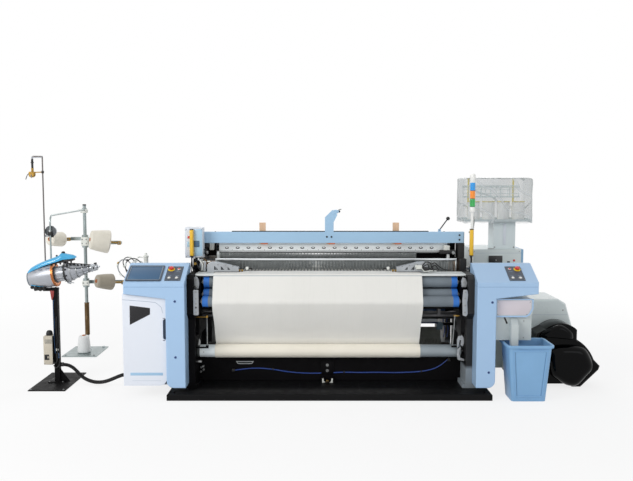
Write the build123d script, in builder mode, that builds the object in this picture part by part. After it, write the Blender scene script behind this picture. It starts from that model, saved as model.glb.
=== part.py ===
from build123d import *
import os
from math import atan2, cos, degrees, hypot, pi, radians, sin, sqrt, tan

os.makedirs("parts", exist_ok=True)

# An air-jet power loom with its weft feeder, creel, bobbin rack and waste bin.
# Millimetres. +X to the right of the weaver, +Y to the rear, +Z up, origin on the floor.

# Machine frame
centre_x = 10
frame_gap = 2130
frame_thickness = 50
platform_length = 2496
platform_depth = 1760
platform_height = 49
platform_edge = 6
frame_front = -750
frame_rear = 860
rear_top_rise = 83
tower_gap = 7

# Running and seating clearances
shaft_clearance = 0.4
seat_clearance = 0.3
slide_clearance = 0.6

# Cloth and warp
cloth_height = 947
cloth_width = 1640
cloth_centre_x = -91
cloth_thickness = 1.0
fell_y = -430
warp_pitch = 27
warp_slot = 13

# Take-up and cloth roll, as centre (Y, Z) and radius
nose_radius = 8
breast_front = -645
breast_back = -470
breast_lip = 16
breast_box_depth = 65
breast_box_drop = 80
guide_y = -600
guide_drop = 67
guide_radius = 45
press_y = -692
press_drop = 209
press_radius = 42
surface_radius = 45
nip_angle = 149
cloth_roll_centre = (-560, 316)
cloth_roll_radius = 54
cloth_core_radius = 50
roller_length = 2000
roller_journal = 12
core_journal = 16
bracket_thickness = 45
journal_depth = 25

# Sley, reed and main nozzle
sley_y = -300
sley_drop = 387
sley_shaft_radius = 32
sley_journal = 20
sley_beam_height = 53
sley_beam_drop = 32
sley_beam_depth = 70
beat_up_gap = 70
reed_setback = 25
reed_depth = 14
reed_foot = 20
reed_rib = 16
reed_rise = 91
reed_left = -936
reed_right = 1060
dent_width = 6

# Heald frames and their guides
heald_count = 4
heald_pitch = 14
heald_thickness = 9
heald_first_y = -236
heald_left = -936
heald_right = 1016
heald_rise = 210
heald_drop = 307
heald_rail_height = 71
heald_bottom_rail = 50
heald_stay = 22
heald_wire = 3
guide_fall = 247
guide_rise = 53
groove_depth = 13

# Top beam
top_beam_front = -300
top_beam_depth = 38
top_beam_height = 92
top_beam_left = -1076
top_beam_right = 1121
top_beam_wall = 5

# Let-off side, as centre (Y, Z) and radius
back_rest_y = 690
back_rest_radius = 75
back_rest_journal = 20
beam_y = 520
beam_share = 0.3907
beam_floor_gap = 31
beam_tube_radius = 80
beam_flange_margin = 100
beam_flange = 14
beam_journal = 30

# Levels and places worked out from the sizes above
left_inner = centre_x - frame_gap / 2
right_inner = centre_x + frame_gap / 2
left_outer = left_inner - frame_thickness
right_outer = right_inner + frame_thickness
cloth_left = cloth_centre_x - cloth_width / 2
cloth_right = cloth_centre_x + cloth_width / 2
cloth_gap = cloth_thickness / 2 + seat_clearance
breast_top = cloth_height - cloth_gap
back_rest_centre = (back_rest_y, breast_top - back_rest_radius)
tower_height = cloth_height + heald_rise + tower_gap
rear_top_height = cloth_height + rear_top_rise
guide_centre = (guide_y, cloth_height - guide_drop)
press_centre = (press_y, cloth_height - press_drop)
sley_centre = (sley_y, cloth_height - sley_drop)
sley_beam_top = cloth_height - sley_beam_drop
sley_beam_front = fell_y + beat_up_gap
reed_front = sley_beam_front + reed_setback
reed_top = cloth_height + reed_rise
heald_top = cloth_height + heald_rise
heald_bottom = cloth_height - heald_drop
guide_bottom = cloth_height - guide_fall
guide_top = cloth_height + guide_rise
beam_flange_radius = round(beam_share * cloth_height)
beam_centre = (beam_y, platform_height + beam_floor_gap + beam_flange_radius)
beam_yarn_radius = beam_flange_radius - beam_flange_margin
nip = press_radius + surface_radius + seat_clearance
surface_centre = (
    press_centre[0] - nip * cos(radians(nip_angle)),
    press_centre[1] + nip * sin(radians(nip_angle)),
)
roller_left = centre_x - roller_length / 2
roller_right = centre_x + roller_length / 2


def at_x(x):
    return Plane.YZ.offset(x)


def at_y(y):
    return Plane.XZ.offset(-y)


def at_z(z):
    return Plane.XY.offset(z)


def slab(x, y, z, mode=Mode.ADD):
    with BuildSketch(at_z(z[0])) as face:
        with Locations(((x[0] + x[1]) / 2, (y[0] + y[1]) / 2)):
            Rectangle(x[1] - x[0], y[1] - y[0])
    extrude(face.sketch, amount=z[1] - z[0], mode=mode)


def round_slab(x, y, z, radius, mode=Mode.ADD):
    with BuildSketch(at_z(z[0])) as face:
        with Locations(((x[0] + x[1]) / 2, (y[0] + y[1]) / 2)):
            RectangleRounded(x[1] - x[0], y[1] - y[0], radius)
    extrude(face.sketch, amount=z[1] - z[0], mode=mode)


def bar_x(centre, radius, x, mode=Mode.ADD):
    with BuildSketch(at_x(x[0])) as face:
        with Locations(centre):
            Circle(radius)
    extrude(face.sketch, amount=x[1] - x[0], mode=mode)


def bar_z(centre, radius, z, mode=Mode.ADD):
    with BuildSketch(at_z(z[0])) as face:
        with Locations(centre):
            Circle(radius)
    extrude(face.sketch, amount=z[1] - z[0], mode=mode)


def prism(plane, points, amount, mode=Mode.ADD):
    with BuildSketch(plane) as face:
        with BuildLine():
            Polyline(*points, close=True)
        make_face()
    extrude(face.sketch, amount=amount, mode=mode)


def tangent(first, second):
    """Ends of the straight run between two stations (centre, radius, side)."""
    (c1, r1, s1), (c2, r2, s2) = first, second
    dy, dz = c2[0] - c1[0], c2[1] - c1[1]
    reach = hypot(dy, dz)
    k = (s2 * r2 - s1 * r1) / reach
    uy, uz = dy / reach, dz / reach
    across = sqrt(1 - k * k)
    ny, nz = k * uy - across * uz, k * uz + across * uy
    start = (c1[0] - s1 * r1 * ny, c1[1] - s1 * r1 * nz)
    end = (c2[0] - s2 * r2 * ny, c2[1] - s2 * r2 * nz)
    return start, end


def sheet_line(stations):
    """Draws the runs and the wraps of a sheet that passes over rollers."""
    runs = [tangent(a, b) for a, b in zip(stations, stations[1:])]
    for run in runs:
        Line(*run)
    for station, before, after in zip(stations[1:-1], runs, runs[1:]):
        (cy, cz), radius = station[0], station[1]
        my = (before[1][0] + after[0][0]) / 2 - cy
        mz = (before[1][1] + after[0][1]) / 2 - cz
        scale = radius / hypot(my, mz)
        ThreePointArc(before[1], (cy + my * scale, cz + mz * scale), after[0])


# Base platform
with BuildPart() as base_platform:
    with BuildSketch():
        Rectangle(platform_length, platform_depth)
    extrude(amount=platform_height)
    chamfer(base_platform.edges().group_by(Axis.Z)[-1], platform_edge)
base_platform.part.label = "base_platform"
export_step(base_platform.part, "parts/base_platform.step")

# Side frames: cast plates with windows, feet and the bores of what they carry
window_radius = 40
foot_length = 200
foot_height = 30
foot_overhang = 25
tower_front = -312
tower_shoulder = -410
tower_shoulder_height = cloth_height + 93
tower_rear = -180
front_shelf_height = cloth_height + 3
arch_run = 60
frame_toe = 50
frame_knee = 600
shelf_bevel = 30
back_rest_cheek = 90


def side_frame_outline():
    with BuildLine() as outline:
        Polyline(
            (frame_front + frame_toe, platform_height),
            (frame_front + frame_toe, frame_knee),
            (frame_front, frame_knee + frame_toe),
            (frame_front, front_shelf_height - shelf_bevel),
            (frame_front + shelf_bevel, front_shelf_height),
            (tower_shoulder, front_shelf_height),
            (tower_shoulder, tower_shoulder_height),
            (tower_front, tower_shoulder_height),
            (tower_front, tower_height),
            (tower_rear, tower_height),
            (tower_rear, rear_top_height),
            (back_rest_centre[0] - back_rest_cheek + shelf_bevel, rear_top_height),
            (back_rest_centre[0] + back_rest_cheek, back_rest_centre[1] + 70),
            (back_rest_centre[0] + back_rest_cheek, back_rest_centre[1] - 110),
            (frame_rear, back_rest_centre[1] - 231),
            (frame_rear, platform_height),
            (frame_rear - foot_length, platform_height),
            (frame_rear - foot_length - arch_run, platform_height + arch_run),
            (frame_front + frame_toe + foot_length + arch_run, platform_height + arch_run),
            (frame_front + frame_toe + foot_length, platform_height),
            close=True,
        )
    make_face(outline.edges())


windows = (
    (-240, 300, 260, 240),
    (110, 340, 300, 320),
    (60, 780, 480, 300),
    (690, 190, 180, 130),
    (-560, 520, 160, 160),
)


def side_frame(x):
    with BuildPart() as frame:
        with BuildSketch(at_x(x)):
            side_frame_outline()
            for y, z, wide, high in windows:
                with Locations((y, z)):
                    RectangleRounded(wide, high, window_radius, mode=Mode.SUBTRACT)
            with Locations(cloth_roll_centre):
                Circle(core_journal + shaft_clearance, mode=Mode.SUBTRACT)
            with Locations(sley_centre):
                Circle(sley_journal + shaft_clearance, mode=Mode.SUBTRACT)
            with Locations(back_rest_centre):
                Circle(back_rest_journal + shaft_clearance, mode=Mode.SUBTRACT)
            with Locations(beam_centre):
                Circle(beam_journal + shaft_clearance, mode=Mode.SUBTRACT)
        extrude(amount=frame_thickness)
        feet_x = (x - foot_overhang, x + frame_thickness + foot_overhang)
        feet_z = (platform_height, platform_height + foot_height)
        slab(feet_x, (frame_front + frame_toe, frame_front + frame_toe + foot_length), feet_z)
        slab(feet_x, (frame_rear - foot_length, frame_rear), feet_z)
    return frame


left_side_frame = side_frame(left_outer)
left_side_frame.part.label = "left_side_frame"
export_step(left_side_frame.part, "parts/left_side_frame.step")

right_side_frame = side_frame(right_inner)
right_side_frame.part.label = "right_side_frame"
export_step(right_side_frame.part, "parts/right_side_frame.step")

# Cross rails: two welded box rails between the side frames
rail_depth = 80
rail_height = 196
rail_wall = 6
front_rail_y = -484
rear_rail_y = 20
with BuildPart() as cross_rails:
    for rail_y in (front_rail_y, rear_rail_y):
        with BuildSketch(at_x(left_inner)):
            with Locations((rail_y + rail_depth / 2, platform_height + rail_height / 2)):
                Rectangle(rail_depth, rail_height)
                Rectangle(rail_depth - 2 * rail_wall, rail_height - 2 * rail_wall, mode=Mode.SUBTRACT)
    extrude(amount=frame_gap)
cross_rails.part.label = "cross_rails"
export_step(cross_rails.part, "parts/cross_rails.step")

# Breast beam: a box with a thin rounded lip that the cloth runs over
breast_box_front = breast_back - breast_box_depth
with BuildPart() as breast_beam:
    with BuildSketch(at_x(left_inner)) as breast_profile:
        with BuildLine():
            Polyline(
                (breast_front, breast_top - breast_lip),
                (breast_front, breast_top),
                (breast_back, breast_top),
                (breast_back, breast_top - breast_box_drop),
                (breast_box_front, breast_top - breast_box_drop),
                (breast_box_front, breast_top - breast_lip),
                close=True,
            )
        make_face()
        fillet(breast_profile.vertices().group_by(Axis.X)[0], nose_radius - 0.05)
    extrude(amount=frame_gap)
breast_beam.part.label = "breast_beam"
export_step(breast_beam.part, "parts/breast_beam.step")

# Top beam: hollow box with a dark strip, a bent arm and the clevis of the hand lever
strip_left = -800
strip_right = 828
strip_height = 6
strip_depth = 16
arm_left = -30
arm_width = 72
arm_thickness = 8
arm_root = 60
arm_rise = 120
arm_tip_rise = 62
arm_tip_shift = 62
lever_x = 922
cheek_thickness = 5
lever_hub_width = 14
lever_hub_radius = 10
lever_pin_radius = 4
lever_pivot_height = 14
top_beam_back = top_beam_front + top_beam_depth
top_beam_mid = top_beam_front + top_beam_depth / 2
top_beam_top = tower_height + top_beam_height
lever_pivot_z = top_beam_top + lever_pivot_height
arm_bend = top_beam_top + arm_rise
arm_low = top_beam_top - arm_root
arm_step = 41
cheek_offset = lever_hub_width / 2 + slide_clearance
with BuildPart() as top_beam:
    with BuildSketch(at_x(top_beam_left)):
        with Locations((top_beam_mid, tower_height + top_beam_height / 2)):
            Rectangle(top_beam_depth, top_beam_height)
            Rectangle(
                top_beam_depth - 2 * top_beam_wall,
                top_beam_height - 2 * top_beam_wall,
                mode=Mode.SUBTRACT,
            )
    extrude(amount=top_beam_right - top_beam_left)
    slab(
        (strip_left, strip_right),
        (top_beam_back - strip_depth, top_beam_back),
        (top_beam_top, top_beam_top + strip_height),
    )
    prism(
        at_y(top_beam_front + arm_thickness),
        (
            (arm_left, arm_low),
            (arm_left, arm_bend),
            (arm_left + arm_tip_shift, arm_bend + arm_tip_rise),
            (arm_left + arm_tip_shift + arm_step, arm_bend + arm_tip_rise - arm_step),
            (arm_left + arm_width, arm_bend - arm_step),
            (arm_left + arm_width, arm_low),
        ),
        arm_thickness,
    )
    for side in (-1, 1):
        cheek_y = top_beam_mid + side * (cheek_offset + cheek_thickness / 2)
        with BuildSketch(at_y(cheek_y + cheek_thickness / 2)) as cheek:
            with Locations((lever_x, top_beam_top + lever_pivot_height / 2)):
                Rectangle(2 * lever_hub_radius, lever_pivot_height)
            with Locations((lever_x, lever_pivot_z)):
                Circle(lever_hub_radius)
                Circle(lever_pin_radius + shaft_clearance, mode=Mode.SUBTRACT)
        extrude(cheek.sketch, amount=cheek_thickness)
top_beam.part.label = "top_beam"
export_step(top_beam.part, "parts/top_beam.step")

# Hand lever: hub with its pin, leaning rod and ball
lever_rod_radius = 5
lever_ball_radius = 15
lever_reach = 118
lever_lean = 36
with BuildPart() as hand_lever:
    with BuildSketch(at_y(top_beam_mid + lever_hub_width / 2)):
        with Locations((lever_x, lever_pivot_z)):
            Circle(lever_hub_radius - 1)
    extrude(amount=lever_hub_width)
    with BuildSketch(at_y(top_beam_mid + cheek_offset + cheek_thickness)):
        with Locations((lever_x, lever_pivot_z)):
            Circle(lever_pin_radius)
    extrude(amount=2 * (cheek_offset + cheek_thickness))
    lever_plane = Plane(
        origin=(lever_x, top_beam_mid, lever_pivot_z),
        z_dir=(sin(radians(lever_lean)), 0, cos(radians(lever_lean))),
    )
    with BuildSketch(lever_plane):
        Circle(lever_rod_radius)
    extrude(amount=lever_reach)
    with Locations(lever_plane.offset(lever_reach)):
        Sphere(lever_ball_radius)
hand_lever.part.label = "hand_lever"
export_step(hand_lever.part, "parts/hand_lever.step")

# Roller brackets: one casting inside each frame, with three blind bores
bracket_margin = 50
bracket_foot = 98
bracket_top = breast_top - breast_lip - 5
bracket_outline = (
    (guide_centre[0] - bracket_margin, bracket_top),
    (guide_centre[0] + guide_radius, bracket_top),
    (surface_centre[0] + bracket_margin + 5, surface_centre[1] - bracket_margin - 10),
    (press_centre[0] + bracket_margin, press_centre[1] - bracket_foot),
    (press_centre[0] - bracket_margin, press_centre[1] - bracket_foot),
    (press_centre[0] - bracket_margin, press_centre[1] + bracket_margin),
    (guide_centre[0] - bracket_margin - 12, guide_centre[1] - bracket_margin + 10),
)
bracket_faces = (
    (left_inner, left_inner + bracket_thickness - journal_depth - 5),
    (right_inner - bracket_thickness, right_inner - bracket_thickness),
)
with BuildPart() as roller_brackets:
    for start, bore_start in bracket_faces:
        prism(at_x(start), bracket_outline, bracket_thickness)
        for centre in (guide_centre, surface_centre, press_centre):
            bar_x(
                centre,
                roller_journal + shaft_clearance,
                (bore_start, bore_start + journal_depth + 5),
                mode=Mode.SUBTRACT,
            )
roller_brackets.part.label = "roller_brackets"
export_step(roller_brackets.part, "parts/roller_brackets.step")


# Take-up rollers
def roller(centre, radius):
    with BuildPart() as turned:
        bar_x(centre, radius, (roller_left, roller_right))
        ends = (
            left_inner + bracket_thickness - journal_depth,
            right_inner - bracket_thickness + journal_depth,
        )
        bar_x(centre, roller_journal, ends)
    return turned


guide_roller = roller(guide_centre, guide_radius)
guide_roller.part.label = "guide_roller"
export_step(guide_roller.part, "parts/guide_roller.step")

surface_roller = roller(surface_centre, surface_radius)
surface_roller.part.label = "surface_roller"
export_step(surface_roller.part, "parts/surface_roller.step")

press_roller = roller(press_centre, press_radius)
press_roller.part.label = "press_roller"
export_step(press_roller.part, "parts/press_roller.step")

# Cloth roll: core tube, wound cloth and end journals
core_margin = 20
core_ends = (left_inner + core_margin, right_inner - core_margin)
with BuildPart() as cloth_roll:
    bar_x(cloth_roll_centre, cloth_core_radius, core_ends)
    bar_x(cloth_roll_centre, cloth_roll_radius, (cloth_left, cloth_right))
    bar_x(
        cloth_roll_centre,
        core_journal,
        (left_inner - frame_thickness / 2, right_inner + frame_thickness / 2),
    )
cloth_roll.part.label = "cloth_roll"
export_step(cloth_roll.part, "parts/cloth_roll.step")

# Cloth: from the fell over the breast beam and the press roller to the cloth roll
nose_centre = (breast_front + nose_radius, breast_top - nose_radius)
cloth_stations = (
    ((fell_y, cloth_height), 0, 1),
    (nose_centre, nose_radius + cloth_gap, 1),
    (press_centre, press_radius + cloth_gap, 1),
    (cloth_roll_centre, cloth_roll_radius + cloth_gap, -1),
)
roll_entry = tangent(cloth_stations[-2], cloth_stations[-1])[1]
with BuildPart() as cloth_sheet:
    with BuildSketch(at_x(cloth_left)):
        with BuildLine():
            sheet_line(cloth_stations[:-1] + ((roll_entry, 0, -1),))
        trace(line_width=cloth_thickness)
    extrude(amount=cloth_width)
cloth_sheet.part.label = "cloth_sheet"
export_step(cloth_sheet.part, "parts/cloth_sheet.step")

# Warp: from the fell through the reed, healds and drop wires, over the back rest to the beam
fell_joint = 1.5
selvedge = 1.5
slot_rear = 262
warp_stations = (
    ((fell_y, cloth_height), 0, -1),
    (back_rest_centre, back_rest_radius + cloth_gap, -1),
    (beam_centre, beam_yarn_radius + cloth_gap, -1),
)
beam_exit = tangent(warp_stations[-2], warp_stations[-1])[1]
slot_count = int((cloth_width - warp_slot - 2 * selvedge) / warp_pitch) + 1
with BuildPart() as warp_sheet:
    with BuildSketch(at_x(cloth_left)):
        with BuildLine():
            sheet_line(warp_stations[:-1] + ((beam_exit, 0, -1),))
        trace(line_width=cloth_thickness)
    extrude(amount=cloth_width)
    with BuildSketch(at_z(cloth_height - 5)) as warp_slots:
        with Locations((cloth_centre_x, (fell_y + fell_joint + slot_rear) / 2)):
            with GridLocations(warp_pitch, 1, slot_count, 1):
                Rectangle(warp_slot, slot_rear - fell_y - fell_joint)
    extrude(warp_slots.sketch, amount=10, mode=Mode.SUBTRACT)
warp_sheet.part.label = "warp_sheet"
export_step(warp_sheet.part, "parts/warp_sheet.step")
slot_offset = 0 if slot_count % 2 else warp_pitch / 2

# Sley shaft: rocking shaft, journals and swords that carry the sley beam
sword_thickness = 24
sword_places = (-900, -300, 320, 920)
sley_inset = 12
sley_beam_back = sley_beam_front + sley_beam_depth
sley_beam_bottom = sley_beam_top - sley_beam_height
with BuildPart() as sley_shaft:
    bar_x(sley_centre, sley_shaft_radius, (left_inner + sley_inset, right_inner - sley_inset))
    bar_x(
        sley_centre,
        sley_journal,
        (left_inner - frame_thickness / 2, right_inner + frame_thickness / 2),
    )
    for sword_x in sword_places:
        prism(
            at_x(sword_x - sword_thickness / 2),
            (
                (sley_centre[0] - sley_shaft_radius + 1, sley_centre[1]),
                (sley_beam_front + 6, sley_beam_bottom),
                (sley_beam_back - 6, sley_beam_bottom),
                (sley_centre[0] + sley_shaft_radius - 1, sley_centre[1]),
            ),
            sword_thickness,
        )
sley_shaft.part.label = "sley_shaft"
export_step(sley_shaft.part, "parts/sley_shaft.step")

# Sley beam: an extrusion with the groove of the reed in its top
reed_back = reed_front + reed_depth
sley_beam_ends = (left_inner + sley_inset, right_inner - sley_inset)
with BuildPart() as sley_beam:
    slab(sley_beam_ends, (sley_beam_front, sley_beam_back), (sley_beam_bottom, sley_beam_top))
    slab(
        sley_beam_ends,
        (reed_front, reed_back),
        (sley_beam_top - reed_foot, sley_beam_top),
        mode=Mode.SUBTRACT,
    )
sley_beam.part.label = "sley_beam"
export_step(sley_beam.part, "parts/sley_beam.step")

# Reed: two ribs joined by dents, with the warp in the gaps between them
reed_bottom = sley_beam_top - reed_foot
dent_count = int((reed_right - reed_left) / warp_pitch) + 1
first_dent = cloth_centre_x + slot_offset - warp_pitch * int((cloth_centre_x - reed_left) / warp_pitch)
with BuildPart() as reed:
    slab((reed_left, reed_right), (reed_front, reed_back), (reed_bottom, sley_beam_top + 6))
    slab((reed_left, reed_right), (reed_front - 4, reed_back), (reed_top - reed_rib, reed_top))
    with BuildSketch(at_z(sley_beam_top)) as dents:
        for dent in range(dent_count):
            dent_x = first_dent + dent * warp_pitch
            if dent_x < reed_right - dent_width:
                with Locations((dent_x, (reed_front + reed_back) / 2)):
                    Rectangle(dent_width, reed_depth - 4)
    extrude(dents.sketch, amount=reed_top - reed_rib - sley_beam_top)
reed.part.label = "reed"
export_step(reed.part, "parts/reed.step")

# Main nozzle: tube, tip and clamp block on the left end of the sley beam
nozzle_y = reed_front - 11
nozzle_z = cloth_height + 9
nozzle_radius = 7
nozzle_tip_radius = 3
nozzle_left = left_inner + sley_inset
nozzle_block = (reed_left - 78, reed_left - 40)
with BuildPart() as main_nozzle:
    slab(nozzle_block, (nozzle_y - 13, nozzle_y + 9), (sley_beam_top, nozzle_z + 14))
    bar_x((nozzle_y, nozzle_z), nozzle_radius, (nozzle_left, reed_left - 30))
    bar_x((nozzle_y, nozzle_z), nozzle_tip_radius, (reed_left - 30, reed_left + 8))
main_nozzle.part.label = "main_nozzle"
export_step(main_nozzle.part, "parts/main_nozzle.step")

# Heald frames: rails, side stays and the wires that stand between the warp ends
wire_step = 2


def heald_frame(index):
    y = heald_first_y + index * heald_pitch
    z_top_rail = heald_top - heald_rail_height
    z_low_rail = heald_bottom + heald_bottom_rail
    with BuildPart() as frame:
        with BuildSketch(at_y(y + heald_thickness / 2)):
            with Locations(((heald_left + heald_right) / 2, (heald_top + heald_bottom) / 2)):
                Rectangle(heald_right - heald_left, heald_top - heald_bottom)
            with Locations(((heald_left + heald_right) / 2, (z_top_rail + z_low_rail) / 2)):
                Rectangle(
                    heald_right - heald_left - 2 * heald_stay,
                    z_top_rail - z_low_rail,
                    mode=Mode.SUBTRACT,
                )
        extrude(amount=heald_thickness)
        with BuildSketch(at_y(y + heald_wire / 2)) as wires:
            shift = (index % wire_step) * warp_pitch
            first = cloth_centre_x + slot_offset - warp_pitch * (slot_count // 2) + shift
            with Locations((0, (z_top_rail + z_low_rail) / 2)):
                for wire in range(slot_count // wire_step):
                    with Locations((first + wire * wire_step * warp_pitch, 0)):
                        Rectangle(heald_wire, z_top_rail - z_low_rail)
        extrude(wires.sketch, amount=heald_wire)
    return frame


for heald_index in range(heald_count):
    heald = heald_frame(heald_index)
    heald_name = f"heald_frame_{heald_index + 1}"
    heald.part.label = heald_name
    export_step(heald.part, f"parts/{heald_name}.step")

# Heald guides: a grooved block on each side frame and three planks behind the top beam
plank_places = (-550, 10, 562)
plank_width = 52
plank_bottom = tower_height - 14
plank_top = tower_height + 166
block_margin = 12
heald_last_y = heald_first_y + (heald_count - 1) * heald_pitch
block_y = (
    heald_first_y - heald_thickness / 2 - block_margin,
    heald_last_y + heald_thickness / 2 + block_margin,
)
plank_y = (top_beam_back, heald_first_y - heald_thickness / 2 - 2.5)
with BuildPart() as heald_guides:
    slab((left_inner, heald_left + groove_depth), block_y, (guide_bottom, guide_top))
    slab((heald_right - groove_depth, right_inner), block_y, (guide_bottom, guide_top))
    for groove in range(heald_count):
        groove_y = heald_first_y + groove * heald_pitch
        half = heald_thickness / 2 + slide_clearance
        slab(
            (heald_left - slide_clearance, heald_right + slide_clearance),
            (groove_y - half, groove_y + half),
            (guide_bottom, guide_top),
            mode=Mode.SUBTRACT,
        )
    for plank_x in plank_places:
        slab(
            (plank_x - plank_width / 2, plank_x + plank_width / 2),
            plank_y,
            (plank_bottom, plank_top),
        )
heald_guides.part.label = "heald_guides"
export_step(heald_guides.part, "parts/heald_guides.step")

# Drop wires: contact bars with the wires that hang through the warp
drop_rows = 4
drop_first_y = 110
drop_pitch = 42
contact_bar = (8, 22)
contact_bottom = cloth_height + 45
wire_bottom = cloth_height - 57
drop_wire = (5, 11)
drop_step = 4
with BuildPart() as drop_wires:
    for row in range(drop_rows):
        row_y = drop_first_y + row * drop_pitch
        slab(
            (left_inner, right_inner),
            (row_y - contact_bar[0] / 2, row_y + contact_bar[0] / 2),
            (contact_bottom, contact_bottom + contact_bar[1]),
        )
        with BuildSketch(at_z(wire_bottom)) as row_wires:
            first = cloth_centre_x + slot_offset - warp_pitch * (slot_count // 2) + row * warp_pitch
            for wire in range((slot_count - row) // drop_step):
                with Locations((first + wire * drop_step * warp_pitch, row_y)):
                    Rectangle(*drop_wire)
        extrude(row_wires.sketch, amount=contact_bottom + 6 - wire_bottom)
drop_wires.part.label = "drop_wires"
export_step(drop_wires.part, "parts/drop_wires.step")

# Back rest roller
with BuildPart() as back_rest_roller:
    bar_x(back_rest_centre, back_rest_radius, (left_inner + 15, right_inner - 15))
    bar_x(
        back_rest_centre,
        back_rest_journal,
        (left_inner - frame_thickness / 2, right_inner + frame_thickness / 2),
    )
back_rest_roller.part.label = "back_rest_roller"
export_step(back_rest_roller.part, "parts/back_rest_roller.step")

# Warp beam: tube, two flanges and journals, with the wound warp between the flanges
with BuildPart() as warp_beam:
    bar_x(beam_centre, beam_tube_radius, (left_inner + 30, right_inner - 30))
    bar_x(beam_centre, beam_flange_radius, (cloth_left - beam_flange, cloth_left))
    bar_x(beam_centre, beam_flange_radius, (cloth_right, cloth_right + beam_flange))
    bar_x(
        beam_centre,
        beam_journal,
        (left_inner - frame_thickness / 2, right_inner + frame_thickness / 2),
    )
warp_beam.part.label = "warp_beam"
export_step(warp_beam.part, "parts/warp_beam.step")

with BuildPart() as warp_yarn:
    with BuildSketch(at_x(cloth_left)):
        with Locations(beam_centre):
            Circle(beam_yarn_radius)
            Circle(beam_tube_radius, mode=Mode.SUBTRACT)
    extrude(amount=cloth_width)
warp_yarn.part.label = "warp_yarn"
export_step(warp_yarn.part, "parts/warp_yarn.step")

# Temples: a foot on the breast beam beside the cloth and a tapered cover over its edge
temple_length = 254
temple_front = -530
temple_depth = 66
temple_rise = cloth_height + 83
temple_tip = cloth_height + 39
temple_lift = 4
temple_foot = 58
temple_shoulder = 22
temple_nose = 30
temple_holes = ((58, 30), (112, 26), (166, 20))
temple_hole_low = 16
with BuildPart() as temples:
    for edge, side in ((cloth_left, -1), (cloth_right, 1)):
        outer = edge + side * (temple_foot + 8)
        inner = outer - side * temple_length
        low = cloth_height + cloth_thickness / 2 + temple_lift
        prism(
            at_y(temple_front + temple_depth),
            (
                (outer, low),
                (outer, temple_rise - temple_shoulder),
                (outer - side * temple_nose, temple_rise),
                (outer - side * (2 * temple_nose + temple_shoulder), temple_rise - 3),
                (inner, temple_tip),
                (inner, low),
            ),
            temple_depth,
        )
        hole_z = low + temple_hole_low
        for along, size in temple_holes:
            hole_x = outer - side * along
            prism(
                at_y(temple_front + temple_depth),
                ((hole_x, hole_z), (hole_x, hole_z + size), (hole_x - side * size, hole_z)),
                temple_depth,
                mode=Mode.SUBTRACT,
            )
        foot_x = sorted((outer, outer - side * temple_foot))
        slab(foot_x, (temple_front, breast_back), (breast_top, low))
temples.part.label = "temples"
export_step(temples.part, "parts/temples.step")

# Left and right front covers: a sloped panel box with a column, as one shell each
cover_front = -850
cover_back = -560
cover_wall = 4
slope_back = -600
slope_low = 906
slope_high = 1028
cover_bottom = 90
cover_band_bottom = 782
cover_band_rise = 38
cover_outer_width = 466
cover_column = 146
cover_corner = 55
left_cover_inner = left_outer - seat_clearance
right_cover_inner = right_outer + seat_clearance
slope_angle = degrees(atan2(slope_high - slope_low, slope_back - cover_front))


def cover_blank(inner_x, side, inset, back):
    """A flag outline cut from a prism with the sloped top."""
    outer_x = inner_x + side * (cover_outer_width - inset)
    near_x = inner_x + side * inset
    column_x = inner_x + side * (cover_column - inset)
    with BuildPart() as blank:
        with BuildSketch(at_y(cover_front + inset)) as flag:
            with BuildLine():
                Polyline(
                    (near_x, cover_bottom + inset),
                    (near_x, slope_high + 10),
                    (outer_x, slope_high + 10),
                    (outer_x, cover_band_bottom + cover_band_rise + inset),
                    (column_x, cover_band_bottom + inset),
                    (column_x, cover_bottom + inset),
                    close=True,
                )
            make_face()
            inner_corner = flag.vertices().sort_by_distance((column_x, cover_front, cover_band_bottom))[0]
            fillet(inner_corner, cover_corner + inset)
        extrude(amount=-(back - cover_front - inset))
        prism(
            at_x(min(near_x, outer_x) - 5),
            (
                (cover_front + inset, cover_bottom + inset),
                (cover_front + inset, slope_low - inset),
                (slope_back, slope_high - inset),
                (back, slope_high - inset),
                (back, cover_bottom + inset),
            ),
            cover_outer_width + 10,
            mode=Mode.INTERSECT,
        )
    return blank.part


def panel_plane(x):
    tilt = radians(slope_angle)
    return Plane(
        origin=(x, cover_front, slope_low),
        x_dir=(1, 0, 0),
        z_dir=(0, -sin(tilt), cos(tilt)),
    )


# Key plates: places of the stop button and the three keys, as (across, up the slope)
key_plate_width = 122
key_plate_length = 200
key_plate_start = 28
key_plate_thickness = 3
key_radius = 10
stop_stem_radius = 10
stop_head_radius = 19
stop_travel = 4
key_travel = 3
left_plate_x = -1202
right_plate_x = 1436
key_far = 160
key_near = 38
key_side = 29


def key_places(plate_x, stop_side):
    plane = panel_plane(plate_x)
    places = (
        (stop_side * key_side, key_plate_start + key_far - 4),
        (-stop_side * key_side, key_plate_start + key_far),
        (-key_side, key_plate_start + key_near),
        (key_side, key_plate_start + key_near),
    )
    return plane, places


def front_cover(inner_x, side, plate_x, stop_side):
    plane, places = key_places(plate_x, stop_side)
    outside = cover_blank(inner_x, side, 0, cover_back)
    inside = cover_blank(inner_x, side, cover_wall, cover_back + 10)
    with BuildPart() as cover:
        add(outside)
        chamfer(cover.faces().sort_by(Axis.Y)[0].edges(), cover_wall)
        add(inside, mode=Mode.SUBTRACT)
        with BuildSketch(plane.offset(-3 * cover_wall)) as holes:
            with Locations(*places):
                Circle(key_radius + slide_clearance)
        extrude(holes.sketch, amount=4 * cover_wall, mode=Mode.SUBTRACT)
    return cover


left_cover = front_cover(left_cover_inner, -1, left_plate_x, -1)
left_cover.part.label = "left_cover"
export_step(left_cover.part, "parts/left_cover.step")

right_cover = front_cover(right_cover_inner, 1, right_plate_x, 1)
right_cover.part.label = "right_cover"
export_step(right_cover.part, "parts/right_cover.step")

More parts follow.
